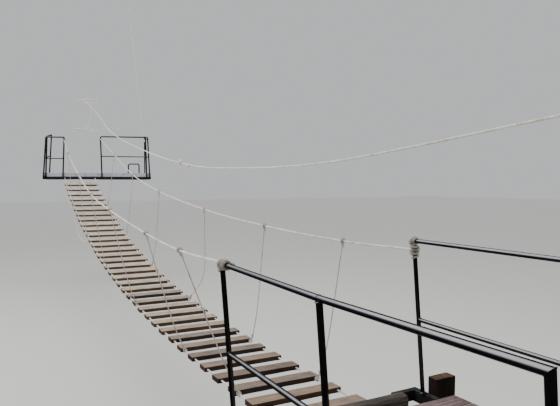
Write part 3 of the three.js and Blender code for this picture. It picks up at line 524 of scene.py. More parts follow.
def even(points, spacing):
    """The same line with evenly spaced points."""
    line, carry = [points[0].copy()], 0.0
    for a, b in zip(points, points[1:]):
        length = (b - a).length
        place = spacing - carry
        while place <= length:
            line.append(a.lerp(b, place / length))
            place += spacing
        carry = (carry + length) % spacing
    if (line[-1] - points[-1]).length > spacing * 0.4:
        line.append(points[-1].copy())
    return line


def cross_ways(line):
    """Two cross directions at each point of a line, carried along without twist."""
    ways = []
    side = None
    for i in range(len(line)):
        ahead = (line[min(i + 1, len(line) - 1)] - line[max(i - 1, 0)]).normalized()
        if side is None:
            side = ahead.cross(Vector((0.31, 0.17, 0.93))).normalized()
        side = (side - ahead * side.dot(ahead)).normalized()
        ways.append((side, ahead.cross(side)))
    return ways


def strands(points, radius, turn_points):
    """The lines of a laid rope's strands, which wind round its middle."""
    line = even(points, LAY * 2 * radius / turn_points)
    across = cross_ways(line)
    reach = radius - radius / STRAND_PART
    lines = []
    for k in range(STRANDS):
        wound = []
        for i, (place, (side, other)) in enumerate(zip(line, across)):
            angle = 2 * math.pi * (i / turn_points + k / STRANDS)
            wound.append(place + (side * math.cos(angle) + other * math.sin(angle)) * reach)
        lines.append(wound)
    return lines


def rope(routes, radius, turn_points=8):
    """Laid rope along each route, as one mesh of twisted strands."""
    lines = [line for route in routes for line in strands(route, radius, turn_points)]
    return tubes(lines, radius / STRAND_DRAWN)


def winding(centre, axis, radius, length, turns, start=0.0, per_turn=14):
    """A line that winds round an axis, such as a lashing round a pipe."""
    axis = axis.normalized()
    side = axis.cross(Vector((0.13, 0.21, 0.97))).normalized()
    other = axis.cross(side)
    line = []
    steps = int(turns * per_turn)
    for i in range(steps + 1):
        angle = start + 2 * math.pi * i / per_turn
        along = axis * (length * (i / steps - 0.5))
        line.append(centre + along + (side * math.cos(angle) + other * math.sin(angle)) * radius)
    return line


def bent(points, radius, parts=8):
    """The line of a bent pipe, with each corner rounded to the bend radius."""
    line = [points[0]]
    for before, corner, after in zip(points, points[1:], points[2:]):
        start = corner + (before - corner).normalized() * radius
        end = corner + (after - corner).normalized() * radius
        for i in range(parts + 1):
            t = i / parts
            line.append(start * (1 - t) ** 2 + corner * 2 * t * (1 - t) + end * t * t)
    return line + [points[-1]]


def soften(piece, width):
    """Eases a piece's edges."""
    bevel = piece.modifiers.new("edge", "BEVEL")
    bevel.width = width
    bevel.segments = 2
    bevel.limit_method = "ANGLE"
    bevel.angle_limit = math.radians(40)
    choose(piece)
    bpy.ops.object.modifier_apply(modifier=bevel.name)


def cut_away(piece, tool):
    """Takes the tool's shape out of the piece and removes the tool."""
    opening = piece.modifiers.new("opening", "BOOLEAN")
    opening.object = tool
    opening.solver = "EXACT"
    choose(piece)
    bpy.ops.object.modifier_apply(modifier=opening.name)
    bpy.data.objects.remove(tool)


def bisect(place, normal, **how):
    """In edit mode, cuts the whole mesh with a plane."""
    bpy.ops.mesh.select_all(action="SELECT")
    bpy.ops.mesh.bisect(plane_co=place, plane_no=normal, **how)


def cylinder(centre, axis, radius, depth, sides, bevel=0.0):
    deselect()
    turn = UP.rotation_difference(axis.normalized())
    bpy.ops.mesh.primitive_cylinder_add(vertices=sides, radius=radius, depth=depth,
                                        location=centre, rotation=turn.to_euler())
    piece = bpy.context.active_object
    if bevel:
        soften(piece, bevel)
    return piece


def board(low, high, edge=0.003, cuts=0, along=0):
    """A sawn board between two corners, with eased edges and cross cuts along its length."""
    low, high = Vector(low), Vector(high)
    deselect()
    bpy.ops.mesh.primitive_cube_add(size=1, location=(low + high) / 2)
    piece = bpy.context.active_object
    piece.scale = high - low
    apply_place(piece)
    soften(piece, edge)
    direction = Vector((0, 0, 0))
    direction[along] = 1
    bpy.ops.object.mode_set(mode="EDIT")
    for i in range(cuts):
        place = Vector(low)
        place[along] = low[along] + (high[along] - low[along]) * (i + 1) / (cuts + 1)
        bisect(place, direction)
    bpy.ops.object.mode_set(mode="OBJECT")
    return piece


def roughen(piece, amount, scale, seed):
    """Moves each point a little, as sawing and weather leave a board."""
    offset = Vector((seed * 3.1, seed * 1.7, seed * 0.9))
    for vertex in piece.data.vertices:
        vertex.co += noise.noise_vector(vertex.co * scale + offset) * amount


def bolt_head(centre, axis, radius, height):
    middle = centre + axis.normalized() * height / 2
    return painted(cylinder(middle, axis, radius, height, sides=6, bevel=0.001), bolt_zinc)


# walkway planks
random.seed(7)
noise.seed_set(7)
master = board(-PLANK / 2, PLANK / 2, edge=0.0035, cuts=14)
for side in (-1, 1):
    bore = cylinder(Vector((side * FOOT_ROPE_X, 0, 0)), AHEAD, BORE, depth=0.2, sides=14)
    cut_away(master, bore)

# The nearer boards by number: warmth, bleach and darkening. Bleach rises with distance, partly as
# painted light.
NEAR_TONES = {
    35: (0.45, 0.22, 0.60), 34: (0.62, 0.20, 0.60), 33: (0.22, 0.16, 0.70), 32: (0.32, 0.12, 0.75),
    31: (0.48, 0.22, 0.60), 30: (0.22, 0.14, 0.70), 29: (0.42, 0.26, 0.55), 28: (0.10, 0.18, 0.60),
    27: (0.65, 0.32, 0.40), 26: (0.60, 0.42, 0.30), 25: (0.55, 0.48, 0.30), 24: (0.52, 0.48, 0.30),
    23: (0.40, 0.36, 0.40), 22: (0.15, 0.30, 0.45), 21: (0.62, 0.50, 0.25), 20: (0.50, 0.55, 0.20)}
# Sawing leaves each end a few millimetres off; the end points lie beyond END_X.
END_X = 0.34
END_PLAY = 0.006
for number in range(1, PLANKS + 1):
    plank = bpy.data.objects.new("plank", master.data.copy())
    bpy.context.collection.objects.link(plank)
    grow_left = random.uniform(-END_PLAY, END_PLAY)
    grow_right = random.uniform(-END_PLAY, END_PLAY)
    for vertex in plank.data.vertices:
        if vertex.co.x < -END_X:
            vertex.co.x += grow_left
        elif vertex.co.x > END_X:
            vertex.co.x += grow_right
    roughen(plank, amount=0.0016, scale=9.0, seed=number)
    # Farther boards are drawn at random, the brighter the farther they are: partly real bleach,
    # partly painted light on the lit far tops.
    drawn = (random.uniform(0.35, 0.80), 0.45 + 0.4 * (1 - number / 20) + random.uniform(-0.1, 0.1),
             random.uniform(0.0, 0.25))
    tone = plank.data.attributes.new("board_tone", "FLOAT_COLOR", "POINT")
    for value in tone.data:
        value.color = (*NEAR_TONES.get(number, drawn), 1)
    y = plank_y[number]
    plank.data.transform(Matrix.Translation(walkway(0, y, rope_height(y)))
                         @ Matrix.Rotation(-WALKWAY_TURN, 4, "Z")
                         @ Matrix.Rotation(math.atan(deck_slope(y)), 4, "X"))
    finish_piece(f"plank_{number:02d}", [plank], (f"slat_{number:02d}",), plank_wood)
bpy.data.objects.remove(master)

# foot ropes
NEAR_END_Y = -0.14
NEAR_KNOT_Y = -0.131
FAR_END_REACH = 0.089


def foot_route(side):
    """A foot rope's way through the near beam, every plank and the far front bar."""
    x = side * FOOT_ROPE_X
    line = [at(WALKWAY_X + x, NEAR_END_Y, rope_height(0)), at(WALKWAY_X + x, 0, rope_height(0))]
    reach = PLANK.y / 2
    for number in range(PLANKS, 0, -1):
        y = plank_y[number]
        rise = deck_slope(y) * reach
        line += [walkway(x, y - reach, rope_height(y) - rise),
                 walkway(x, y + reach, rope_height(y) + rise)]
    c, s = math.cos(WALKWAY_TURN), math.sin(WALKWAY_TURN)
    along = ((WALKWAY_X + x * c - FAR_ORIGIN.x) * math.sin(FAR_TURN)
             + (x * s + FAR_ORIGIN.y) * math.cos(FAR_TURN)) / math.cos(WALKWAY_TURN + FAR_TURN)
    front = walkway(x, along, ROPE_END_Z)
    y = plank_y[1]
    last = PLANK.y / 2 + 0.025
    line += [walkway(x, y + last, rope_height(y) + last * deck_slope(y)),
             front - AHEAD * 0.018, front, front + AHEAD * FAR_END_REACH]
    return line


def stop_knot(centre):
    """A wall knot: two crossed windings drawn tight round the rope."""
    return [winding(centre, AHEAD, radius=STOP_KNOT * 0.62, length=0.022, turns=2.2),
            winding(centre, Vector((0.6, 0.7, 0.3)), radius=STOP_KNOT * 0.55, length=0.018,
                    turns=2.0, start=1.0)]


for side, label in ((-1, "left"), (1, "right")):
    route = foot_route(side)
    near_knot = at(WALKWAY_X + side * FOOT_ROPE_X, NEAR_KNOT_Y, rope_height(0))
    pieces = [rope([route], FOOT_ROPE),
              rope(stop_knot(near_knot) + stop_knot(route[-1]), STOP_KNOT_ROPE)]
    finish_piece(f"foot_rope_laid_{label}", pieces, (f"foot_rope_{label}",),
                 rope_cream)


# handrail ropes, hangers and lashings
def foot_tie(side, number):
    """Where a rope is tied to the foot rope, just in front of a plank."""
    y = plank_y[number] - HANGER_SETBACK
    return y, walkway(side * FOOT_ROPE_X, y, rope_height(y)), Vector((0, 1, deck_slope(y)))


def slack_rope(side, far_number, near_number, drop):
    """A slack rope that hangs under the planks between two ties on the foot rope."""
    ends = []
    for number in (far_number, near_number):
        y, middle = foot_tie(side, number)[:2]
        down = Vector((0, deck_slope(y), -1)).normalized()
        ends.append((middle + down * 0.012, middle + down * 0.062))
    (far_tie, far_leg), (near_tie, near_leg) = ends
    low = [far_leg.lerp(near_leg, t) + Vector((side * 0.03, 0, -4 * drop * t * (1 - t)))
           for t in (0.2, 0.4, 0.6, 0.8)]
    return curved([far_tie, far_leg, *low, near_leg, near_tie], 0.04)


def hitch(top, along, up, seed):
    """A bulky hitch on the handrail: turns round it, turns drawn over them and a frayed tail."""
    spread = random.Random(seed)
    tail_way = (along * spread.choice((-1, 1)) - up * spread.uniform(0.5, 1.6)).normalized()
    tail = top - up * 0.014
    return [winding(top, along, radius=HANDRAIL + HANGER * 0.9, length=0.036, turns=3.2,
                    start=seed),
            winding(top + up * 0.004, along + up * 0.55, radius=HANDRAIL + HANGER * 2.1,
                    length=0.020, turns=2.3, start=seed * 0.7),
            winding(top - up * 0.022, up, radius=0.0085, length=0.028, turns=2.6, start=1.0),
            [tail, tail + tail_way * 0.022, tail + tail_way * 0.040 - up * 0.008]]


def foot_knot(foot, along, up, bend, seed):
    """A hanger's knot on the foot rope: a ring round it, a crossed turn and a whipping above."""
    return [winding(foot, along, radius=FOOT_ROPE + HANGER * 1.2, length=0.034, turns=2.6,
                    start=seed),
            winding(foot + up * 0.012, up + along * 0.6, radius=0.012, length=0.022, turns=2.0,
                    start=seed * 0.7),
            winding(bend + up * 0.02, up, radius=0.0085, length=0.034, turns=2.6, start=0.5)]


def handrail(side, label, stations, bows, start, finish, lashes, slack=()):
    """A handrail rope with its hangers, lashings and slack rope."""
    line = curved([start] + [at(*p) for p in stations] + [finish], 0.05)
    hangers, knots = [], []
    for number, station, bow in zip(HANGER_PLANKS, stations, bows):
        y, foot, along_foot = foot_tie(side, number)
        tip = at(*station)
        nearest = min(range(1, len(line) - 1), key=lambda i: (line[i] - tip).length)
        top = line[nearest]
        along = (line[nearest + 1] - line[nearest - 1]).normalized()
        bend = walkway(side * (FOOT_ROPE_X + 0.018), y, rope_height(y) + 0.034)
        up = (top - bend).normalized()
        bowed = bend.lerp(top, BOW_PLACE) + Vector((side * bow, 0, 0))
        hangers.append(curved([foot + Vector((side * 0.013, 0, 0.006)), bend, bowed, top], 0.05))
        knots += hitch(top, along, up, number)
        knots += foot_knot(foot, along_foot, up, bend, number)
    pieces = [painted(rope([line], HANDRAIL), rope_cream),
              painted(rope(hangers + knots, HANGER, turn_points=6), rope_grey),
              painted(rope(lashes, LASHING), rope_brown)]
    if slack:
        foot, along_foot = foot_tie(side, slack[0][0])[1:]
        tie = winding(foot, along_foot, radius=FOOT_ROPE + SLACK_ROPE * 0.9, length=0.026,
                      turns=2.2)
        spans = [slack_rope(side, *span) for span in slack]
        pieces.append(painted(rope(spans + [tie], SLACK_ROPE), rope_cream))
    finish_piece(f"handrail_rope_{label}", pieces, (f"handrail_net_{label}",))


def far_lash(side, railing):
    """The lashing on a far gate post and the place where the handrail rope leaves it."""
    top = railing["tops"][0]
    z = top - FAR_LASH_DROP
    low, middle = [far(leaning(railing["gate"], h, top), FAR_POST_V, h) for h in (z, z + 0.028)]
    axis = middle - low
    turns = [winding(middle, axis, radius=FAR_PIPE + 0.0072, length=0.055, turns=4.0),
             winding(middle + axis * 0.07, axis + Vector((0.006, 0.003, 0)),
                     radius=FAR_PIPE + 0.015, length=0.020, turns=2.0)]
    return turns, middle + Vector((side * 0.002, -0.027, -0.004))


# The turns of a near lashing run this far from the pipe's middle.
TURN = PIPE + LASHING
left_top = at(LEFT_RAILING["top_x"], LEFT_RAILING["posts"][0], LEFT_RAILING["tops"][0])
left_lash = [winding(left_top + Vector((0, -0.045, 0.001)), Vector((0, 1, 0.05)),
                     radius=TURN, length=0.055, turns=3.6),
             winding(left_top + Vector((0, -0.010, -0.022)), Vector((0.10, 0.25, 1)),
                     radius=TURN + 0.001, length=0.034, turns=2.2),
             winding(left_top + Vector((0, -0.006, 0.002)), Vector((0.2, 1, 1)),
                     radius=TURN + 0.005, length=0.022, turns=2.3),
             [left_top + Vector((0.02, -0.055, 0.010)), left_top + Vector((0.036, -0.075, 0.004)),
              left_top + Vector((0.040, -0.088, -0.026))]]
right_top = at(RIGHT_RAILING["top_x"], RIGHT_RAILING["posts"][0], RIGHT_RAILING["tops"][0])
right_up = Vector((RIGHT_RAILING["top_x"] - RIGHT_RAILING["foot_x"], 0,
                   RIGHT_RAILING["tops"][0])).normalized()
right_lash = [winding(right_top - right_up * 0.068, right_up + Vector((0, 0.06, 0)),
                      radius=TURN, length=0.098, turns=4.6),
              winding(right_top - right_up * 0.060, right_up + Vector((0.1, -0.16, 0)),
                      radius=TURN + 0.008, length=0.052, turns=2.4),
              winding(right_top + Vector((0, -0.012, 0.002)), Vector((0, 1, 0.35)),
                      radius=TURN, length=0.026, turns=1.9),
              winding(right_top - right_up * 0.006, Vector((0.1, 1, 1)),
                      radius=TURN + 0.008, length=0.018, turns=1.6)]
left_far_lash, left_leave = far_lash(-1, FAR_LEFT)
right_far_lash, right_leave = far_lash(1, FAR_RIGHT)
handrail(-1, "left", LEFT_RAIL, LEFT_BOWS, left_top + Vector((0.027, -0.05, 0)), left_leave,
         left_lash + left_far_lash, LEFT_SLACK)
handrail(1, "right", RIGHT_RAIL, RIGHT_BOWS,
         right_top - right_up * 0.058 + Vector((-0.026, 0.004, 0)), right_leave,
         right_lash + right_far_lash)


# near railings
def weld(centre, axis, radius):
    """A bead of weld round the end of a pipe."""
    ring = winding(centre, axis, radius + 0.001, 0.0, 1.0, per_turn=20)
    return tubes([ring], 0.0032)


def mitre_bead(corner, before, after, radius):
    """A bead of weld round the slanted cut between two pipes."""
    normal = (before + after).normalized()
    across = before.cross(after).normalized()
    along = normal.cross(across)
    reach = radius / normal.dot(before)
    ring = [corner + across * math.cos(a) * radius + along * math.sin(a) * reach
            for a in [2 * math.pi * i / 24 for i in range(25)]]
    return tubes([ring], 0.0018)


def base_plate(centre):
    """A round flange with a ring of bolts."""
    parts = [painted(cylinder(centre + UP * 0.004, UP, BASE_PLATE, 0.0076, 28, 0.0012),
                     pipe_black)]
    for i in range(BASE_BOLTS):
        angle = math.pi / 4 + i * 2 * math.pi / BASE_BOLTS
        out = Vector((math.cos(angle), math.sin(angle), 0))
        parts.append(bolt_head(centre + out * BASE_PLATE * 0.78 + UP * 0.008, UP, 0.0042, 0.004))
    return parts


def mitred_pipe(points, radius):
    """Straight pipes cut on the mitre at each corner, with a bead of weld round the cut."""
    parts = []
    for i, (start, end) in enumerate(zip(points, points[1:])):
        ahead = (end - start).normalized()
        first = start - ahead * radius * 2 if i else start
        last = end + ahead * radius * 2 if i + 2 < len(points) else end
        leg = cylinder((first + last) / 2, ahead, radius, (last - first).length, 24)
        apply_place(leg)
        bpy.ops.object.mode_set(mode="EDIT")
        if i:
            slant = (start - points[i - 1]).normalized() + ahead
            bisect(start, slant, use_fill=True, clear_inner=True)
        if i + 2 < len(points):
            slant = ahead + (points[i + 2] - end).normalized()
            bisect(end, slant, use_fill=True, clear_outer=True)
        bpy.ops.object.mode_set(mode="OBJECT")
        bpy.ops.object.shade_smooth_by_angle(angle=math.radians(30))
        parts.append(leg)
    for before, corner, after in zip(points, points[1:], points[2:]):
        parts.append(mitre_bead(corner, (corner - before).normalized(),
                                (after - corner).normalized(), radius))
    return parts


def near_railing(label, foot_x, top_x, tops, mids, posts):
    """A leaning railing of three posts, a top rail cut on the mitre and a mid rail."""
    front, middle, rear = posts
    seat = 0.0004
    foot = seat + 0.004
    front_top, middle_top, rear_top = tops

    def place(y, z):
        return at(foot_x + (top_x - foot_x) * z / front_top, y, z)

    joint = [at(top_x, middle, middle_top)] if middle_top != front_top else []
    pieces = mitred_pipe([place(front, foot), at(top_x, front, front_top), *joint,
                          at(top_x, rear, rear_top), place(rear, foot)], PIPE)
    pieces.append(tubes([[place(middle, foot), at(top_x, middle, middle_top)]],
                        PIPE, 16))
    ends = [place(front, mids[0]), place(rear, mids[1])]
    pieces.append(tubes([ends], PIPE - 0.0002, 16))
    lean = Vector((top_x - foot_x, 0, tops[0]))
    pieces.append(weld(at(top_x, middle, middle_top) - lean.normalized() * PIPE, lean, PIPE))
    for y, way in ((front, -1), (middle, 1), (middle, -1), (rear, 1)):
        share = (front - y) / (front - rear)
        pieces.append(weld(ends[0].lerp(ends[1], share) + AHEAD * way * PIPE, AHEAD, PIPE))
    pieces += [weld(place(y, seat) + UP * 0.0095, lean, PIPE) for y in posts]
    for piece in pieces:
        painted(piece, pipe_black)
    for y in posts:
        pieces += base_plate(place(y, seat))
    finish_piece(f"pipe_railing_near_{label}", pieces, (f"near_railing_{label}",))


near_railing("left", **LEFT_RAILING)
near_railing("right", **RIGHT_RAILING)

# near landing
GAP = 0.003
SCREW_INSET = 0.035
width = FLOOR_DEPTH / FLOOR_BOARDS
for index in range(FLOOR_BOARDS):
    back = FLOOR_BACK + index * width
    piece = board(at(-FLOOR_HALF, back + GAP, -FLOOR_THICK),
                  at(FLOOR_HALF, back + width - GAP, -0.0006), cuts=10)
    roughen(piece, amount=0.0012, scale=5.0, seed=50 + index)
    painted(piece, floor_wood)
    screws = [bolt_head(at(x, y, -0.0022), UP, 0.0052, 0.0022)
              for x in SCREW_ROWS for y in (back + SCREW_INSET, back + width - SCREW_INSET)]
    finish_piece(f"floor_board_{index + 1:02d}", [piece] + screws,
                 () if index else ("near_floor",))

LOG_CUTS = 24
log = cylinder((0, 0, 0), Vector((1, 0, 0)), radius=0.5, depth=LOG_LENGTH, sides=28)
apply_place(log)
bpy.ops.object.mode_set(mode="EDIT")
for i in range(LOG_CUTS):
    bisect((LOG_LENGTH * ((i + 1) / (LOG_CUTS + 1) - 0.5), 0, 0), (1, 0, 0))
bpy.ops.object.mode_set(mode="OBJECT")
soften(log, 0.02)
# The round log is squared on its four sides, with the axe's wander along it.
for vertex in log.data.vertices:
    x, y, z = vertex.co
    angle = math.atan2(z, y)
    c, s = math.cos(angle), math.sin(angle)
    squareness = (abs(c) ** LOG_SQUARENESS + abs(s) ** LOG_SQUARENESS) ** (-1 / LOG_SQUARENESS)
    reach = math.hypot(y, z) * squareness
    wander = 1 - 0.05 * (1 + noise.noise(Vector((x * 3, c * 1.4, s * 1.4))))
    vertex.co.y = reach * c * LOG_HALF_DEPTH * wander
    vertex.co.z = reach * s * LOG_HALF_HEIGHT * wander
log.data.transform(Matrix.Translation(at(*LOG_MIDDLE)))
for face in log.data.polygons:
    face.use_smooth = True
finish_piece("near_log_beam", [log], ("near_front_beam",), log_wood)

# Weather has moved a post's faces a little, but its foot stays flat up to this height.
FLAT_FOOT = 0.05
for index, (label, (x, y)) in enumerate(POST_SPOTS.items()):
    half_x, half_y = POST_HALF
    piece = board(at(x - half_x, y - half_y, -FROM_POST_FOOT.z),
                  at(x + half_x, y + half_y, POST_TOP), 0.006, 14, 2)
    for vertex in piece.data.vertices:
        if vertex.co.z > FLAT_FOOT:
            push = noise.noise_vector(vertex.co * 7 + Vector((index * 5, 0, 0)))
            vertex.co += Vector((push.x, push.y, min(push.z, 0))) * 0.002
    painted(piece, post_wood)
    outward = Vector((1 if x > 0 else -1, 0, 0))
    bolts = [bolt_head(at(x, y, z) + outward * 0.0895, outward, 0.012, 0.009)
             for z in (-0.125, -0.155)]
    finish_piece(f"squared_post_{label}", [piece] + bolts,
                 (f"near_post_{label}",))


# far landing
def landing_block(u0, u1, v0, v1, z0, z1):
    """A board of the far landing, between two corners."""
    piece = board((u0, v0, z0), (u1, v1, z1))
    piece.data.transform(Matrix.Translation(FAR_ORIGIN + FROM_POST_FOOT)
                         @ Matrix.Rotation(FAR_TURN, 4, "Z"))
    return piece


left_side, right_side = FAR_SIDES
low = FAR_FRAME_TOP + 0.0006
seat = FAR_DECK_TOP - FAR_BOARD_THICK
under = seat - 0.0005
inner = FAR_DEPTH - FASCIA
width = (right_side - left_side) / FAR_BOARDS
blocks = [(left_side + i * width + 0.0025, left_side + i * width + width - 0.0025,
           FASCIA + 0.002, inner - 0.001, seat, FAR_DECK_TOP - 0.0005) for i in range(FAR_BOARDS)]
blocks += [(left_side, right_side, 0.0, FASCIA, low, FAR_DECK_TOP),
           (left_side, -NOTCH, inner, FAR_DEPTH, low, FAR_DECK_TOP),
           (NOTCH, right_side, inner, FAR_DEPTH, low, FAR_DECK_TOP),
           (left_side, left_side + FASCIA, FASCIA, inner, low, FAR_DECK_TOP),
           (right_side - FASCIA, right_side, FASCIA, inner, low, FAR_DECK_TOP)]
blocks += [(u, u + JOIST, FASCIA + 0.001, inner - 0.001, low, under) for u in JOISTS_U]
blocks.append((left_side + FASCIA, right_side - FASCIA, JOIST_V, JOIST_V + JOIST, low, under))
deck = joined([landing_block(*block) for block in blocks])
cut_away(deck, cylinder(far(0, NOTCH_V, 1.65), UP, NOTCH + 0.002, 0.3, 40))
cut_away(deck, landing_block(-NOTCH - 0.002, NOTCH + 0.002, NOTCH_V, FAR_DEPTH + 0.1, 1.5, 1.8))
finish_piece("far_deck_boards", [deck], ("far_deck",), pale_deck)


def far_railing(label, gate, corner, outer, behind, tops, mid):
    """Two welded loops, along the front and along the side, that meet at the corner."""
    foot = FAR_FRAME_BOTTOM + 0.002
    deck_z = FAR_DECK_TOP + 0.0004
    gate_top, corner_top = tops

    def front(post, z):
        return far(leaning(post, z, corner_top), FAR_POST_V, z)

    def back(z):
        return far(leaning(behind, z, FAR_BACK_TOP), FAR_BACK_V, z)

    front_loop = bent([front(gate, foot), far(gate[1], FAR_POST_V, gate_top),
                       front(corner, corner_top), front(corner, foot)], FAR_ELBOW)
    side_loop = bent([front(outer, foot), front(outer, corner_top), back(FAR_BACK_TOP),
                      back(deck_z + 0.004)], FAR_ELBOW)
    pieces = [tubes([front_loop, side_loop], FAR_PIPE, 14)]
    spacer = [front(corner, corner_top - SPACER_DROP), front(outer, corner_top - SPACER_DROP)]
    front_mid = [front(gate, mid), front(outer, mid)]
    side_mid = [front(outer, mid), back(FAR_BACK_MID)]
    pieces.append(tubes([spacer, front_mid, side_mid], FAR_MID_PIPE, 12))
    for a, b in (front_mid, (front(corner, mid), front_mid[0]), side_mid, side_mid[::-1]):
        ahead = (b - a).normalized()
        pieces.append(weld(a + ahead * FAR_PIPE, ahead, FAR_MID_PIPE))
    pieces = [painted(joined(pieces), pipe_black)] + base_plate(back(deck_z))
    out = far(0, -1, 0) - far(0, 0, 0)
    for post in (gate, corner, outer):
        for z in (FAR_FRAME_BOTTOM + 0.028, FAR_FRAME_TOP + 0.045):
            pieces.append(bolt_head(front(post, z) + out * 0.0165, out, 0.007, 0.005))
    finish_piece(f"pipe_railing_far_{label}", pieces, (f"far_railing_{label}",))


far_railing("left", **FAR_LEFT)
far_railing("right", **FAR_RIGHT)
hoop_foot = FAR_DECK_TOP + 0.0006
hoop_top = hoop_foot + HOOP_TOP
hoop_corners = [far(HOOP[0], FAR_BACK_V, hoop_foot), far(HOOP[0], FAR_BACK_V, hoop_top),
                far(HOOP[1], FAR_BACK_V, hoop_top), far(HOOP[1], FAR_BACK_V, hoop_foot)]
hoop = [tubes([bent(hoop_corners, HOOP_ELBOW)], FAR_PIPE, 14)]
hoop += [weld(far(u, FAR_BACK_V, hoop_foot + 0.004), UP, FAR_PIPE) for u in HOOP]
finish_piece("pipe_hoop", hoop, ("far_hoop",), pipe_black)


# stay, slings and life line
def eye(tip, along):
    """A spliced eye at the end of a rope, with the tail tucked back."""
    across = Vector((1, 0, 0))
    centre = tip + along * EYE
    ring = [centre + (along * -math.cos(a) + across * math.sin(a)) * EYE
            for a in [2 * math.pi * i / 28 for i in range(29)]]
    return [ring, winding(tip - along * 0.03, along, radius=0.010, length=0.05, turns=5.0)]


stay_foot = far(FAR_RIGHT["behind"][0], FAR_BACK_V, FAR_BACK_TOP - 0.13)
stay_top = at(*STAY_TOP)
stay_start = stay_foot + Vector((0, FAR_PIPE + 0.0074, 0.03))
stay_bend = stay_foot + Vector((-0.025, 0.039, 0.21))
tie_point = Vector((stay_foot.x - 0.046, stay_foot.y + 0.048, at(0, 0, LOW_SLING + 0.105).z))
stay = rope([[stay_start, stay_bend, tie_point, stay_top]] + eye(stay_top, UP), LINE)
stay_lash = rope([winding(stay_foot + UP * 0.028, UP, radius=FAR_PIPE + 0.007,
                                       length=0.056, turns=4.5)], STAY_LASHING)
finish_piece("stay_rope_laid", [stay, stay_lash], ("stay_rope",), rope_cream)

sling_x, sling_y = SLING_MIDDLE
reach = SLING - LINE


def sling(z):
    """Two turns of rope, side by side, where they go round what carries the landing."""
    return winding(at(sling_x, sling_y, z), UP, reach, 0.015, 2.0, per_turn=48)


stay_up = (stay_top - tie_point).normalized()
tie_ring = tie_point + stay_up * 0.06
tie_from = at(sling_x + reach, sling_y, LOW_SLING)
tie_end = tie_ring - Vector((0.0124, 0, 0))
tie = curved([tie_from, tie_from.lerp(tie_end, 0.5) - UP * 0.012, tie_end], 0.05)
link = curved([at(sling_x - 0.12, sling_y - reach * 0.92, LOW_SLING),
               at(sling_x + 0.03, sling_y - reach - 0.012, (LOW_SLING + HIGH_SLING) / 2),
               at(sling_x - 0.06, sling_y - reach * 0.98, HIGH_SLING)], 0.03)
sling_knot = at(sling_x + reach * math.sin(KNOT_TURN), sling_y - reach * math.cos(KNOT_TURN),
                HIGH_SLING)
link_way = Vector((1, 0.4, 0))
slings = rope([sling(LOW_SLING), sling(HIGH_SLING), tie, link], LINE)
KNOT = 0.0105
sling_knots = rope([
    winding(tie_ring, stay_up, radius=LINE + 0.005, length=0.032, turns=3.2),
    winding(sling_knot, Vector((1, 0, 0)), radius=KNOT, length=0.030, turns=3.2),
    winding(tie_from, AHEAD, radius=KNOT, length=0.026, turns=2.6),
    winding(link[0], link_way, radius=KNOT, length=0.024, turns=2.4),
    winding(link[-1], link_way, radius=KNOT, length=0.024, turns=2.4)], SLING_KNOT_ROPE)
finish_piece("sling_ropes_laid", [slings, sling_knots], ("trunk_slings",),
             rope_cream)

life_points = [sling_knot - AHEAD * 0.0178] + [at(*p) for p in LIFE_LINE]
knot = at(*LINE_KNOT)
life_way = Vector((-0.055, -1, -0.08)).normalized()
line_knot = [winding(knot, life_way, radius=0.021, length=0.046, turns=3.0),
             winding(knot + UP * 0.002, life_way + Vector((0.2, 0, 0.9)),
                     radius=0.019, length=0.030, turns=2.4, start=0.8),
             winding(knot, Vector((1, 0.3, 0.4)), radius=0.017, length=0.026, turns=2.2, start=1.7),
             winding(knot + life_way * 0.30 - UP * 0.034, life_way,
                     radius=0.012, length=0.036, turns=3.0),
             curved([at(*p) for p in LINE_TAIL], 0.02)]
life = rope([curved(life_points, 0.06)] + line_knot
            + eye(life_points[-1] + UP * 0.004, -AHEAD), LINE)
finish_piece("life_line_laid", [life], ("life_line",), rope_cream)

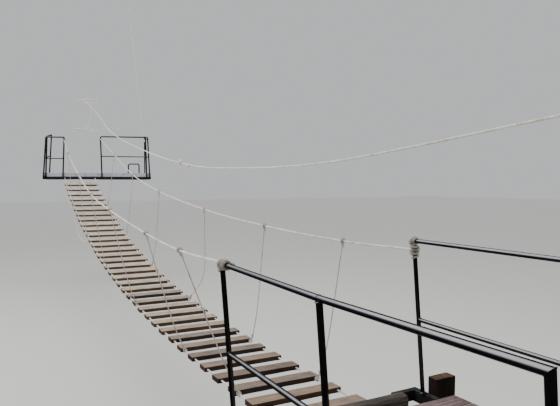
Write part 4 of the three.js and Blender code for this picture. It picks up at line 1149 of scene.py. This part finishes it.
# The frames keep their CAD solids.
for node in ("near_frame", "far_frame"):
    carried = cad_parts[node]
    for index in range(len(carried.data.materials)):
        carried.data.materials[index] = steel_black

# studio: an even pale floor, just under the posts' feet
pale_floor, tree, shader = new_material("pale_floor")[:3]
feed(tree, shader, {"Base Color": "#d6d5d0", "Roughness": 0.9})
deselect()
bpy.ops.mesh.primitive_plane_add(size=160, location=(0, 0, -0.0008))
ground = bpy.context.active_object
ground.name = "studio_floor"
ground.data.materials.append(pale_floor)
ground.visible_glossy = False

world = bpy.data.worlds.new("pale_studio")
bpy.context.scene.world = world
world.use_nodes = True
sky = world.node_tree
background = sky.nodes["Background"]
# Polished enamel mirrors one broad bright window high on the left and dark walls all round;
# everything else sees an even pale light.
WINDOW_WAY = Vector((-0.40, 0.50, 0.77)).normalized()
looking = add(sky, "TexCoord").outputs["Generated"]
window = add(sky, "VectorMath", {0: looking, 1: WINDOW_WAY}, operation="DOT_PRODUCT")
mirrored = add(sky, "ValToRGB", {"Fac": window},
               ((0.0, "#0b0b0d"), (0.64, "#18181a"), (0.78, "#7d7d84"), (0.92, "#e6e6f0")))
ray = add(sky, "LightPath").outputs
glossy = ray["Is Glossy Ray"]
light = add(sky, "Mix", {0: glossy, 6: "#eef0f2", 7: mirrored}, **MIX)
power = add(sky, "MapRange", {"Value": glossy, "To Min": 0.88, "To Max": 5.0})
# The wall behind the bridge is as dark as the floor far off, so that no edge shows between them.
wall = add(sky, "Math", {0: ray["Is Camera Ray"], 1: -0.19, 2: power}, operation="MULTIPLY_ADD")
feed(sky, background, {"Color": light, "Strength": wall})


def softbox(name, place, target, size, power):
    lamp_data = bpy.data.lights.new(name, "AREA")
    lamp_data.shape = "RECTANGLE"
    lamp_data.size, lamp_data.size_y = size
    lamp_data.energy = power
    lamp = bpy.data.objects.new(name, lamp_data)
    bpy.context.collection.objects.link(lamp)
    lamp.location = place
    lamp.rotation_euler = (target - place).to_track_quat("-Z", "Y").to_euler()


softbox("sky_panel", at(-3, 5, 9), at(0, 4, 0), (8, 14), 900)
softbox("front_panel", at(5, -5, 4), at(0, 1, 0.5), (4, 3), 120)
